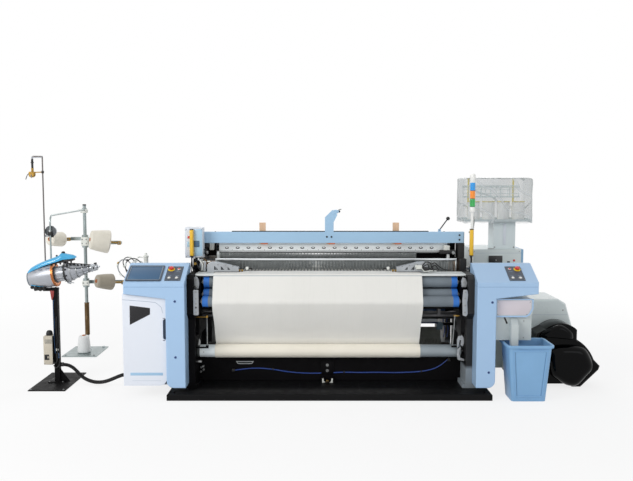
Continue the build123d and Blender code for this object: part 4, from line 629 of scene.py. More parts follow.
for kind, edge, names in (
    ("platform_black", 1.5, "base_platform"),
    ("frame_black", 0, "left_side_frame"),
    ("frame_grey_painted_shade", 0, "right_side_frame"),
    ("frame_black", 3, "cross_rails"),
    ("frame_black", 2, "roller_brackets"),
    ("beam_grey", 0, "breast_beam"),
    ("beam_blue", 0, "top_beam"),
    ("lever_steel", 0, "hand_lever"),
    ("guide_wood", 0, "heald_guides"),
    ("roller_emery", 0, "guide_roller surface_roller press_roller"),
    ("roll_cotton", 0, "cloth_roll"),
    ("cloth_cotton", 0, "cloth_sheet"),
    ("warp_cotton", 0, "warp_sheet warp_yarn"),
    ("shaft_iron", 0, "sley_shaft"),
    ("beam_aluminium", 2, "sley_beam"),
    ("beam_aluminium", 0, "reed"),
    ("nozzle_steel", 0, "main_nozzle"),
    ("heald_aluminium", 0, "heald_frame_1 heald_frame_2 heald_frame_3 heald_frame_4"),
    ("wire_steel", 0, "drop_wires"),
    ("roller_chrome", 0, "back_rest_roller"),
    ("beam_iron", 0, "warp_beam"),
    ("temple_aluminium", 3, "temples"),
    ("cover_blue", 7, "left_cover right_cover"),
    ("housing_white", 2, "left_housing light_curtain"),
    ("housing_grey", 5, "right_housing"),
    ("door_white", 4, "left_door"),
    ("panel_dark", 0, "operator_panels"),
    ("button_red", 2, "left_stop_button right_stop_button"),
    ("key_white", 1, "left_key_1 left_key_2 left_key_3 right_key_1 right_key_2 right_key_3"),
    ("lamp_white", 1, "signal_tower"),
    ("cabinet_grey", 3, "cabinet"),
    ("cabinet_blue", 2, "cabinet_door"),
    ("black_plastic", 1.5, "main_switch"),
    ("rack_white", 1, "bobbin_rack"),
    ("bobbin_cotton", 1, "rack_bobbins"),
    ("film_clear", 0, "film_cover"),
    ("hood_grey", 8, "drive_cover"),
    ("hood_black", 6, "motor_cover"),
    ("bin_blue", 2, "waste_bin"),
    ("stand_black", 2, "feeder_stand"),
    ("feeder_shell", 0, "weft_feeder"),
    ("feeder_copper", 2, "feeder_disc"),
    ("creel_steel", 0, "creel_stand"),
    ("cone_cotton", 0, "yarn_cones"),
    ("rubber_black", 0, "corrugated_hose"),
    ("key_blue", 0, "air_hoses"),
):
    for name in names.split():
        dress(name, kind, edge)


# Hoses: each route repeats the points of its solid
feeder_post_right, housing_left, rail_front = -2239, -1577, -484
hose_radius, hose_rib, rib_radii = 15, 6, (15, 13.6, 12.2, 13.6)
cuff_length, cuff_radius = 30, 17.5
housing_top = 780
loop_y, loop_step, loop_shift, loop_shrink = -520, 36, 26, 0.08
corrugated_route = (
    (feeder_post_right, -345, 150),
    (-2192, -345, 150),
    (-2139, -348, 131),
    (-2095, -354, 91),
    (-2053, -369, 51),
    (-1997, -390, 27),
    (-1929, -422, 19),
    (-1858, -452, 28),
    (-1794, -482, 52),
    (-1736, -508, 81),
    (-1682, -527, 106),
    (-1630, -536, 121),
    (housing_left, -536, 121),
)
blue_route = (
    (-765, -490, 138),
    (-670, -490, 152),
    (-565, -490, 156),
    (-455, -490, 146),
    (-345, -490, 126),
    (-235, -490, 115),
    (-120, -490, 112),
    (0, -490, 115),
    (125, -490, 122),
    (255, -490, 118),
    (385, -490, 121),
    (515, -490, 117),
    (640, -490, 120),
    (755, -490, 127),
    (850, -490, 146),
    (920, -490, 182),
    (966, -490, 226),
)
# A loop over the left housing, as (x, height over it)
loop_route = (
    (-1546, 0),
    (-1546, 66),
    (-1602, 129),
    (-1640, 200),
    (-1622, 262),
    (-1562, 284),
    (-1508, 250),
    (-1480, 180),
    (-1470, 90),
    (-1470, 0),
)


def loop_place(loop, x, rise):
    """A point of one of the three loops, given by its height over the housing."""
    return (x + loop * loop_shift, loop_y + loop * loop_step, housing_top + rise)


def route_curve(name, route, radius=0.0):
    data = bpy.data.curves.new(name, "CURVE")
    data.dimensions = "3D"
    data.bevel_depth = radius * MM
    data.bevel_resolution = 4
    spline = data.splines.new("NURBS")
    spline.points.add(len(route) - 1)
    for point, place in zip(spline.points, route):
        point.co = (place[0] * MM, place[1] * MM, place[2] * MM, 1)
    spline.order_u = 3
    spline.use_endpoint_u = True
    spline.resolution_u = 16
    made = bpy.data.objects.new(name, data)
    scene.collection.objects.link(made)
    return made


def route_line(route):
    """Points read from the route's own spline, in millimetres."""
    curve = route_curve("route", route)
    mesh = bpy.data.meshes.new_from_object(curve)
    line = [v.co / MM for v in mesh.vertices]
    bpy.data.objects.remove(curve)
    return line


def path_length(line):
    return sum((b - a).length for a, b in zip(line, line[1:]))


def evenly(line, step):
    """The same line with points a step apart, and its length."""
    reach = path_length(line)
    count = max(2, round(reach / step))
    points, walked, index = [line[0]], 0.0, 0
    for i in range(1, count):
        target = reach * i / count
        while walked + (line[index + 1] - line[index]).length < target:
            walked += (line[index + 1] - line[index]).length
            index += 1
        share = (target - walked) / (line[index + 1] - line[index]).length
        points.append(line[index].lerp(line[index + 1], share))
    return points + [line[-1]], reach


def ribbed_hose():
    line, reach = evenly(route_line(corrugated_route), hose_rib / len(rib_radii))
    radii = [rib_radii[i % len(rib_radii)] for i in range(len(line))]
    hose = piece("corrugated_hose_ribbed", [(tube(line, hose_radius, 20, 0, radii), "rubber_black")],
                 replaces=["corrugated_hose"])
    cuff = Vector((cuff_length, 0, 0))
    cuffs = piece("corrugated_hose_cuffs", [
        (rod(line[0], line[0] + cuff, cuff_radius, 24, 2), "black_plastic"),
        (rod(line[-1] - cuff, line[-1], cuff_radius, 24, 2), "black_plastic"),
    ])


def air_hose(name, route, radius, kind):
    reach = path_length(route_line(route))
    hose = route_curve(name, route, radius)
    hose.data.materials.append(mats[kind])
    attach(hose, "machine")
    return hose


ribbed_hose()
blue_hose = air_hose("blue_air_hose", blue_route, 5, "hose_blue")
for loop in range(3):
    high = 1 - loop * loop_shrink
    air_hose(f"air_loop_{loop + 1}", [loop_place(loop, x, rise * high) for x, rise in loop_route],
             4, ("black_plastic", "fitting_white", "black_plastic")[loop])
# More loops of the same tangle: y, radius, material and the line as (x, z)
side_loops = (
    (-420, 5, "hose_grey", ((-1574, 780), (-1574, 826), (-1622, 862), (-1676, 896), (-1716, 940), (-1724, 996),
                            (-1690, 1040), (-1640, 1034), (-1604, 990), (-1574, 930), (-1552, 860), (-1552, 780))),
    (-396, 3.5, "fitting_white", ((-1530, 780), (-1532, 860), (-1566, 920), (-1596, 980), (-1584, 1040), (-1536, 1062),
                                  (-1492, 1030), (-1478, 960), (-1474, 880), (-1474, 780))),
    (-372, 4, "black_plastic", ((-1568, 780), (-1580, 850), (-1628, 910), (-1676, 962), (-1696, 1018), (-1660, 1058),
                                (-1610, 1040), (-1576, 988), (-1548, 920), (-1534, 850), (-1534, 780))),
)
for number, (y, radius, kind, line) in enumerate(side_loops, 4):
    air_hose(f"air_loop_{number}", [(x, y, z) for x, z in line], radius, kind)
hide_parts("air_hoses")


def hose_fittings():
    parts = []
    for x, z in ((-789, 138), (966, 226)):
        parts.append((block((x, x + 24), (-502, rail_front), (z - 12, z + 12), 2), "black_plastic"))
    for x in (-420, 190, 700):
        near = min(blue_route, key=lambda p: abs(p[0] - x))
        parts.append((block((near[0] - 6, near[0] + 6), (-497, rail_front), (near[2] - 9, near[2] + 9), 2),
                      "black_plastic"))
    piece("hose_clips", parts)
    parts = []
    for loop in range(3):
        for x, _ in (loop_route[0], loop_route[-1]):
            parts.append((lathe(loop_place(loop, x, 0), UP, ((0, 9), (10, 9), (11, 7), (22, 7), (24, 5.5)), 6),
                          "brass"))
            parts.append(screw(loop_place(loop, x, 24), UP, 7, 12, 14, 5, 16, "fitting_white"))
    for loop, (x, rise) in enumerate(((-1632, 232), (-1560, 258), (-1500, 190))):
        y = loop_y + loop * loop_step
        z = housing_top + rise
        parts.append((rod((x, y, z - 18), (x, y, z + 8), 7, 16, 1.5), "fitting_white"))
    for y, radius, _, line in side_loops:
        for x in (line[0][0], line[-1][0]):
            profile = [(along, radius + more) for along, more in ((0, 5), (10, 5), (11, 1.6), (30, 1.6), (32, 1))]
            parts.append((lathe((x, y, housing_top), UP, profile, 16), "brass"))
    for tip, end, radius, kind in (((-1690, -420, 905), (-1706, -420, 922), 8.5, "fitting_white"),
                                   ((-1727, -420, 982), (-1722, -420, 1004), 8.5, "fitting_white"),
                                   ((-1722, -420, 1004), (-1712, -420, 1018), 7.5, "brass"),
                                   ((-1650, -420, 1036), (-1630, -420, 1028), 8, "rubber_black"),
                                   ((-1678, -372, 966), (-1688, -372, 986), 7, "fitting_white"),
                                   ((-1640, -372, 1055), (-1622, -372, 1048), 6.5, "fitting_white"),
                                   ((-1560, -396, 1055), (-1542, -396, 1060), 6, "fitting_white")):
        parts.append((rod(tip, end, radius, 14, 1.5), kind))
    post = ((0, 20), (16, 20), (18, 13), (214, 13), (216, 18), (270, 18), (274, 22), (286, 22), (290, 12), (308, 9))
    parts.append((lathe((-1508, -340, 776), UP, post, 20), "fitting_white"))
    piece("loop_fittings", parts)


hose_fittings()


# Cloth and warp
cloth_left, cloth_right = -911, 729
cloth_height = 947
cloth_middle = (cloth_left + cloth_right) / 2
fell_y = -430
beam_centre, back_rest, roll_centre, press_centre = (520, 450), (690, 871.2), (-560, 316), (-692, 738)
slot_pitch = 27
thread_places = (7.7, 11.25, 15.75, 19.3)
# Open gaps between the threads, as (middle, width), which wires and dents keep to
free_places = ((-5.6, 1.2), (-3.6, 1.2), (-1.6, 1.2), (0.4, 1.2), (2.4, 1.2), (4.4, 1.2), (9.45, 0.9), (12.7, 0.9),
               (14.3, 0.9), (17.5, 0.9))


def belt(stations, step=8, run=24):
    """The (y, z) line of a sheet led over round things, each as (centre, radius, side)."""
    links = []
    for (c1, r1, s1), (c2, r2, s2) in zip(stations, stations[1:]):
        reach = Vector(c2) - Vector(c1)
        ahead = reach.normalized()
        lean = (s1 * r1 - s2 * r2) / reach.length
        links.append(ahead * lean + Vector((ahead.y, -ahead.x)) * math.sqrt(1 - lean * lean))
    line = [(Vector(stations[0][0]), links[0])]
    for (centre, radius, side), before, after in zip(stations[1:], links, links[1:] + [links[-1]]):
        start = math.atan2(before.y, before.x)
        turn = (math.atan2(after.y, after.x) - start + math.pi) % (2 * math.pi) - math.pi
        count = max(1, round(abs(math.degrees(turn)) / step))
        for i in range(count + 1 if turn else 1):
            angle = start + turn * i / count
            normal = Vector((math.cos(angle), math.sin(angle)))
            point = Vector(centre) + normal * radius * side
            last = line[-1][0]
            gap = (point - last).length
            for k in range(1, int(gap // run)):
                share = k / int(gap // run)
                line.append((last.lerp(point, share), normal if i == 0 else line[-1][1]))
            line.append((point, normal))
    return line


def woven_cloth():
    line = belt((
        ((fell_y, cloth_height), 0, 1),
        ((-637, 938.2), 8.8, 1),
        (press_centre, 42.8, 1),
        (roll_centre, 54.8, -1),
    ))
    columns = 110
    lying, last_lift = 260, 30
    reach = path_length([point for point, _ in line])
    rows, walked = [], 0.0
    for i, (point, normal) in enumerate(line):
        if i:
            walked += (point - line[i - 1][0]).length
        free = math.sin(math.pi * min(1, max(0, (walked - lying) / (reach - lying - last_lift)))) ** 2
        row = []
        for c in range(columns + 1):
            u = c / columns
            ripple = 1.1 * math.sin(u * 61 + walked * 0.004) + 0.9 * math.sin(u * 23 + 1.7 - walked * 0.003)
            ripple += 1.6 * math.exp(-((u - 0.02) / 0.02) ** 2) + 1.6 * math.exp(-((u - 0.985) / 0.02) ** 2)
            lift = max(0, 1.4 + ripple) * free * 0.7
            edge = 2.5 * math.sin(walked * 0.021) * free
            x = cloth_left + (cloth_right - cloth_left) * u
            x += edge * ((1 - u) ** 8 - u ** 8)
            row.append((x, point.x + normal.x * lift, point.y + normal.y * lift))
        rows.append(row)
    cloth_piece = piece("woven_cloth", [(grid(rows), "cloth_cotton")],
                        replaces=["cloth_sheet"], angle=60)


def warp_threads():
    line = belt((
        ((fell_y, cloth_height), 0, -1),
        (back_rest, 75.8, -1),
        (beam_centre, 270.8, -1),
    ), run=60)
    spread_from, spread_over = 270, 260
    points, faces = [], []
    threads = [k * slot_pitch + shift for k in range(-30, 30) for shift in thread_places]
    spread = (cloth_right - cloth_left - 6) / (len(threads) - 1)
    for number, close in enumerate(threads):
        wide = -((cloth_right - cloth_left) / 2 - 3) + number * spread
        for i, (point, _) in enumerate(line):
            share = 1
            if i < len(line) // 2 or point.x > spread_from + spread_over:
                share = min(1, max(0, (point.x - spread_from) / spread_over))
            share = 1 if point.y < 860 else share * share * (3 - 2 * share)
            x = cloth_middle + close + (wide - close) * share
            half = 0.8 + 1.25 * share
            height = point.y + 0.4 * (number % 2) - 0.2
            points += [Vector((x - half, point.x, height)), Vector((x + half, point.x, height))]
            if i:
                a = len(points) - 4
                faces.append((a, a + 1, a + 3, a + 2))
    made = piece("warp_threads", [((points, faces), "thread_cotton")], replaces=["warp_sheet"], angle=60)


woven_cloth()
warp_threads()


# Reed and sley: fine dents between two ribs, on the extruded beam
reed_left, reed_right, reed_end = -936, 1060, 14


def fine_reed():
    parts = [
        (block((reed_left, reed_right), (-339, -321), (1022, 1038), 2.5, 3), "reed_cap"),
        (block((reed_left, reed_right), (-336, -320), (895, 924), 2), "beam_aluminium"),
        (rod((reed_left, -337, 1018), (reed_right, -337, 1018), 2.2, 12), "wire_steel"),
        (rod((reed_left, -337, 927), (reed_right, -337, 927), 2.2, 12), "wire_steel"),
    ]
    dents = []
    for k in range(-31, 42):
        for shift, wide in free_places:
            x = cloth_middle + k * slot_pitch + shift
            if reed_left + reed_end < x < reed_right - reed_end:
                dents.append(block((x - wide * 0.7, x + wide * 0.7), (-332, -324), (922, 1023)))
    parts.append((merged(dents), "reed_steel"))
    for x in (reed_left, reed_right - reed_end):
        parts.append((block((x, x + reed_end), (-338, -320), (922, 1024), 1), "beam_aluminium"))
    piece("fine_reed", parts, body="sley", replaces=["reed"])


def sley_details():
    parts = []
    for x in range(-900, 1060, 280):
        parts.append(screw((x, -360, 888), FRONT, 8, 3, 4.5, 6.5, 6))
    for height in (872, 904):
        parts.append((block((-1040, 1060), (-361, -359), (height - 1, height + 1)), "wire_steel"))
    piece("sley_screws", parts, body="sley")


fine_reed()
sley_details()


# Heald frames: rails with dark ovals, stays, end blocks and fine wires
heald_left, heald_right = -936, 1016
heald_top, heald_bottom = 1157, 640
heald_rail, heald_low_rail, heald_side = 71, 50, 22
heald_first_y, heald_pitch = -236, 14
oval_left, oval_pitch, oval_height = -851, 90.3, 1118


def heald_frame(number):
    y = heald_first_y + (number - 1) * heald_pitch
    front, back = y - 4.5, y + 4.5
    rail = heald_top - heald_rail
    across = (heald_left, heald_right)
    parts = [
        (block(across, (front, back), (rail, heald_top), 1.5), "heald_rail"),
        (block(across, (front, back), (heald_bottom, heald_bottom + heald_low_rail), 1.5), "heald_rail"),
        (block(across, (front - 0.4, front + 2), (rail + 6, rail + 9), 0.4), "wire_steel"),
        (block(across, (front - 0.4, front + 2), (heald_top - 9, heald_top - 6), 0.4), "wire_steel"),
    ]
    for x in (heald_left, heald_right - heald_side):
        parts.append((block((x, x + heald_side), (front, back), (heald_bottom, heald_top), 1.5), "heald_aluminium"))
    for z in (rail - 8, heald_bottom + heald_low_rail + 8):
        parts.append((block((heald_left + heald_side, heald_right - heald_side), (y - 1, y + 1), (z - 4, z + 4), 0.5),
                      "wire_steel"))
    if number == 1:
        for k in range(20):
            x = oval_left + k * oval_pitch
            oval = [(x + 16.5 * a, oval_height + 9 * b) for a, b in circle(24)]
            parts.append((prism(oval, "y", front - 0.6, front + 3), "oval_dark"))
            painted_lip_shade = [(x + 9 * a, oval_height + 3 + 4.5 * b) for a, b in circle(16)]
            parts.append((prism(painted_lip_shade, "y", front - 1.0, front), "heald_rail"))
            parts.append((lathe((x + 45, front, 1100), FRONT, ((0, 3), (1, 3), (1.6, 2)), 10), "wire_steel"))
    piece(f"heald_frame_body_{number}", parts,
          body=f"heald_{number}", replaces=[f"heald_frame_{number}"])
    wires = []
    for k in range(-30, 31):
        for shift, wide in free_places:
            x = cloth_middle + k * slot_pitch + shift
            wires.append(block((x - wide * 0.65, x + wide * 0.65), (y - 1, y + 1), (heald_bottom + 44, rail + 2)))
    piece(f"heald_wires_{number}", [(merged(wires), "reed_steel")], body=f"heald_{number}")


for number in (1, 2, 3, 4):
    heald_frame(number)


# Take-up: blue end sleeves on the rollers and the wound roll
roller_ends = (-990, 1010)
sleeve_width = 45


def end_sleeves(body, y, z, radius):
    parts = []
    for end, side in zip(roller_ends, (1, -1)):
        inner = end + side * sleeve_width
        parts.append((rod((min(end, inner), y, z), (max(end, inner), y, z), radius + 0.9, 72, 0.7), "roller_blue"))
        for step in (0, 1):
            place = end - side * (3 + 5 * step)
            parts.append((rod((place, y, z), (place - side * 5, y, z), (30, 17)[step], 40, 1), "fastener_steel"))
    for x in range(-880, 980, 310):
        parts.append((rod((x, y, z), (x + 0.8, y, z), radius + 0.25, 72), "emery_seam"))
    piece(f"{body}_roller_sleeves", parts, body=body)


end_sleeves("guide", -600, 880, 45)
end_sleeves("surface", -617.17, 782.96, 45)
end_sleeves("press", *press_centre, 42)


def wound_roll():
    y, z = roll_centre
    core = ((-1035, 44), (-1033, 50), (-912, 50))
    right_core = ((730, 50), (1053, 50), (1055, 44))
    edge = [(cloth_left + 0.7 * (i % 2), 50.4 + 0.45 * i) for i in range(9)]
    other = [(cloth_right - 0.7 * (i % 2), 50.4 + 0.45 * i) for i in range(9)][::-1]
    wound = edge + [(cloth_left + 1, 54)]
    wound += [(x, 54 + 0.18 * math.sin(x * 0.031) + 0.12 * math.sin(x * 0.083)) for x in range(-900, 720, 20)]
    wound += [(cloth_right - 1, 54)] + other
    parts = [
        (lathe((0, y, z), (1, 0, 0), core, 64), "core_light"),
        (lathe((0, y, z), (1, 0, 0), right_core, 64), "core_grey"),
        (lathe((0, y, z), (1, 0, 0), wound, 96), "roll_cotton"),
        (rod((-1080, y, z), (-1034, y, z), 16, 32, 1), "shaft_iron"),
        (rod((1054, y, z), (1100, y, z), 16, 32, 1), "shaft_iron"),
    ]
    for x in (-1053, -1047, -1041):
        parts.append((lathe((x, y, z), (1, 0, 0), ((0, 42), (1, 47), (4, 47), (5, 42)), 40), "core_ring"))
    for a, b in circle(6):
        spot = Vector((-1000, y + 50 * a, z + 50 * b))
        out = Vector((0, a, b))
        parts.append((rod(spot - out * 2, spot + out * 0.6, 3.5, 12), "wire_steel"))
    piece("wound_roll", parts, body="roll", replaces=["cloth_roll"])


wound_roll()


# Links, plates and rods beside the rollers
def left_links():
    parts = [
        (prism(plate_outline((-1054, -1014), (640, 838), 8), "y", -754, -744, 1.5), "bracket_grey"),
        (prism([(-1058, 838), (-1024, 838), (-1018, 872), (-1022, 906), (-1034, 930), (-1048, 934), (-1060, 920),
                (-1062, 880)], "y", -690, -668, 3), "bracket_grey"),
        (block((-1050, -1030), (-700, -690), (846, 862), 2), "fastener_steel"),
        (rod((-1034, -756, 700), (-1034, -742, 700), 8, 20, 1), "shaft_iron"),
        (rod((-1092, -700, 828), (-1054, -700, 828), 5, 14, 1), "fastener_steel"),
        (rod((-1088, -690, 880), (-1056, -690, 880), 5, 14, 1), "fastener_steel"),
        (block((-1040, -1026), (-748, -738), (790, 816), 2), "fastener_steel"),
        (rod((-1104, -640, 605), (-974, -640, 605), 3.5, 14, 0.8), "brass"),
        (rod((-966, -640, 616), (-966, -640, 372), 4.5, 14, 1), "fastener_steel"),
        (block((-974, -958), (-648, -632), (598, 618), 2), "brass"),
        (block((-978, -956), (-650, -630), (362, 378), 2), "frame_black"),
        (block((-1055, -956), (-644, -636), (354, 366), 1), "frame_black"),
        (prism([(-1044, 378), (-1022, 378), (-1020, 410), (-1028, 432), (-1036, 412)], "y", -640, -632, 1.5),
         "fastener_steel"),
        (block((-1058, -1014), (-632, -600), (236, 252), 3), "fastener_steel"),
    ]
    for z in (664, 730, 770, 822):
        parts += bolt((-1034, -754, z), size=5)
    parts += bolt((-1040, -690, 906), size=6)
    for x, z in ((-1036, 168), (-1018, 150), (-1040, 132), (-1020, 178)):
        parts.append((rod((x, -520, z), (x, -490, z), 9, 16, 2), "fastener_steel"))
    parts.append((block((-1055, -1006), (-494, -484), (118, 196), 3), "frame_black"))
    piece("left_links", parts)


def right_links():
    casting = [(1034, 638), (1062, 630), (1072, 652), (1068, 740), (1073, 800), (1066, 838), (1036, 838), (1030, 760)]
    upper = [(1036, 850), (1070, 846), (1076, 884), (1066, 918), (1044, 926), (1032, 896)]
    cradle = [(1022, 452), (1052, 460), (1064, 440), (1068, 400), (1056, 372), (1040, 384), (1044, 420), (1032, 424),
              (1026, 380), (1014, 360), (1012, 420)]
    hook = [(1022, 262), (1072, 250), (1073, 268), (1040, 280), (1034, 330), (1048, 352), (1040, 366), (1020, 350),
            (1014, 300)]
    parts = [
        (prism(casting, "y", -756, -743, 3), "bracket_grey"),
        (prism(upper, "y", -694, -668, 3), "bracket_grey"),
        (prism(cradle, "y", -660, -636, 3), "bracket_grey"),
        (prism(hook, "y", -648, -628, 3), "bracket_grey"),
        (block((1030, 1074), (-700, -664), (840, 852), 2), "frame_black"),
        (tube([(995, -640, 621), (990, -640, 540), (984, -640, 460), (979, -640, 376)], 4.5, 12), "fastener_steel"),
        (block((984, 1030), (-644, -636), (610, 622), 1.5), "brass"),
        (block((970, 1012), (-650, -630), (362, 376), 2), "frame_black"),
        (rod((1000, -632, 590), (1016, -632, 380), 4, 12), "frame_black"),
    ]
    for x, z in ((1050, 662), (1052, 716), (1050, 772), (1052, 820)):
        parts += bolt((x, -756, z), size=5)
    parts += bolt((1052, -694, 890), size=6)
    for place in ((1040, -660, 440), (1046, -648, 262)):
        parts += bolt(place, size=4)
    piece("right_links", parts)


left_links()
right_links()


# Inner pieces seen beside the cloth
def inner_pieces():
    parts = [
        (block((792, 1002), (-150, -70), (548, 602), 4), "inner_blue"),
        (block((1002, 1076), (-140, -90), (556, 594), 3), "frame_black"),
        (block((690, 930), (-196, -120), (478, 510), 3), "housing_white"),
        (block((688, 934), (-198, -110), (466, 478), 2), "trim_navy"),
        (prism([(930, 404), (980, 404), (988, 452), (976, 470), (934, 470)], "y", -150, -110, 3), "inner_steel"),
        (block((980, 1076), (-148, -112), (440, 462), 3), "frame_black"),
        (prism([(-240, 246), (-100, 246), (-100, 420), (-130, 424)], "x", 720, 962, 4), "floor_grey"),
    ]
    for k in range(7):
        x = 742 + k * 30
        parts.append((block((x, x + 5), (-214, -120), (250, 330), 1), "floor_grey"))
    for x in (1000, 1030):
        parts.append((tube([(x, -110, 540), (x - 8, -114, 470), (x + 6, -112, 400), (x - 4, -110, 330)], 4, 10),
                      "hose_blue"))
    parts.append((block((716, 1076), (-236, -100), (238, 247), 1), "frame_black"))
    piece("inner_blocks", parts)


inner_pieces()


# Front rail: handle recess, centre bracket with its fork
def rail_details():
    parts = [
        (prism([(-757, 213), (-610, 213), (-624, 190), (-640, 188), (-728, 188), (-744, 190)], "y", -488, -483, 2),
         "handle_grey"),
        (block((-742, -626), (-489, -484), (196, 206), 1.5), "frame_black"),
        (block((-62, 40), (-496, -484), (104, 214), 3), "frame_black"),
        (block((-56, -38), (-546, -496), (49, 92), 2), "frame_black"),
        (block((18, 36), (-546, -496), (49, 92), 2), "frame_black"),
        (prism([(-54, 86), (-44, 86), (-40, 64), (-24, 52), (2, 52), (18, 64), (22, 86), (32, 86), (32, 50), (-54, 50)],
               "y", -556, -546, 1.5), "fork_white"),
        (rod((-12, -566, 66), (-12, -546, 66), 10, 24, 1.5), "brass"),
        (rod((-12, -570, 66), (-12, -566, 66), 6, 24, 1), "shaft_iron"),
    ]
    for x, z in ((-12, 182), (-12, 136)):
        parts += bolt((x, -496, z), size=9)
    for x in (-880, 900):
        for z in (130, 220):
            parts += bolt((x, -484, z), size=8, kind="frame_black")
    piece("rail_details", parts)


rail_details()


# Temples: cover plates with pins below, and the cables of the right one
def temple_details():
    parts = []
    for side, start in ((1, -911), (-1, 729)):
        tip = start + side * 250
        parts.append((block(sorted((tip - side * 6, tip + side * 16)), (-534, -506), (968, 990), 3), "fitting_white"))
        parts.append((rod((tip + side * 14, -522, 978), (tip + side * 46, -522, 975), 6, 16, 2), "black_plastic"))
        for k in range(9):
            x = start + side * (30 + 22 * k)
            parts.append((rod((x, -500, 958), (x + side * 14, -500, 958), 9, 20, 1.5), "brass"))
        for along in (22, 84, 140):
            x = start + side * along
            parts += bolt((x, -532, 1012 - along * 0.12), size=3.5)
    piece("temple_details", parts)
    cables = [
        (block((694, 742), (-556, -532), (974, 1006), 3), "fitting_white"),
        (block((690, 700), (-560, -534), (984, 1010), 2), "fitting_white"),
        (block((744, 800), (-552, -520), (960, 990), 5), "black_plastic"),
        (block((812, 842), (-546, -520), (956, 976), 3), "black_plastic"),
    ]
    loops = (
        ((742, -540, 992), (772, -548, 1030), (812, -540, 1020), (826, -530, 982), (868, -526, 962)),
        ((744, -536, 984), (784, -552, 1012), (806, -546, 978), (846, -530, 1004), (882, -524, 966)),
        ((742, -546, 980), (762, -556, 958), (808, -552, 962), (862, -530, 958)),
        ((826, -530, 1016), (850, -524, 1022), (880, -520, 996), (926, -516, 968), (980, -512, 962)),
    )
    for loop, kind in zip(loops, ("rubber_black", "rubber_black", "fitting_white", "rubber_black")):
        cables.append((tube(loop, 4, 10), kind))
    piece("temple_cables", cables)


temple_details()


# Cable and link cluster between the left tower and the cloth
def left_cluster():
    y = -470
    parts = [
        (block((-1098, -1040), (y, y + 60), (962, 1040), 4), "frame_black"),
        (prism([(-1040, 950), (-1008, 950), (-1012, 1010), (-1030, 1040), (-1044, 1006)], "y", y - 14, y, 2),
         "fastener_steel"),
        (prism([(-1012, 950), (-994, 950), (-990, 1030), (-1004, 1036)], "y", y - 20, y - 8, 2), "bracket_grey"),
        (block((-1060, -1016), (y - 10, y + 20), (1034, 1048), 3), "fastener_steel"),
        (rod((-1020, y - 12, 1026), (-958, y - 12, 1030), 6, 14, 1.5), "fitting_white"),
        (rod((-1078, y - 16, 1010), (-1078, y, 1010), 11, 20, 2), "brass"),
        (rod((-1048, y - 18, 984), (-1048, y, 984), 9, 20, 2), "shaft_iron"),
        (block((-990, -962), (y - 4, y + 30), (952, 1000), 3), "bracket_grey"),
        (block((-1100, -960), (y + 40, y + 60), (952, 964), 1.5), "frame_black"),
    ]
    strands = (
        ((-1100, -420, 1050), (-1096, -440, 1010), (-1090, -462, 960), (-1070, -480, 930)),
        ((-1084, -420, 1050), (-1070, -470, 1026), (-1056, -488, 992), (-1040, -486, 950)),
        ((-1064, -420, 1050), (-1044, -476, 1040), (-1020, -490, 1004), (-1024, -486, 960)),
        ((-1112, -430, 1046), (-1118, -452, 990), (-1110, -464, 930), (-1082, -470, 900)),
        ((-1040, -420, 1050), (-1010, -470, 1050), (-982, -486, 1024), (-980, -480, 990)),
    )
    for strand, kind in zip(strands, ("rubber_black", "rubber_black", "fitting_white", "rubber_black", "bronze")):
        parts.append((tube(strand, 4.5, 10), kind))
    for x, z in ((-1030, 1010), (-1002, 1000), (-976, 976)):
        parts += bolt((x, y - 14, z), size=4)
    piece("left_cluster", parts)


left_cluster()


# Light curtain: terminal box, two bars and their cables
def curtain_bar(x, y, z):
    """A yellow extrusion with black caps and the dark strip of its optics."""
    return [
        (block((x - 15.5, x + 15.5), y, (z[0] + 6, z[1] - 6), 6, 3), "curtain_yellow"),
        (block((x - 16, x + 16), y, (z[0], z[0] + 7), 3), "black_plastic"),
        (block((x - 16, x + 16), y, (z[1] - 7, z[1]), 3), "black_plastic"),
        (block((x + 8, x + 14), (y[0] - 0.3, y[0] + 3), (z[0] + 14, z[1] - 14), 1), "curtain_lens"),
    ]


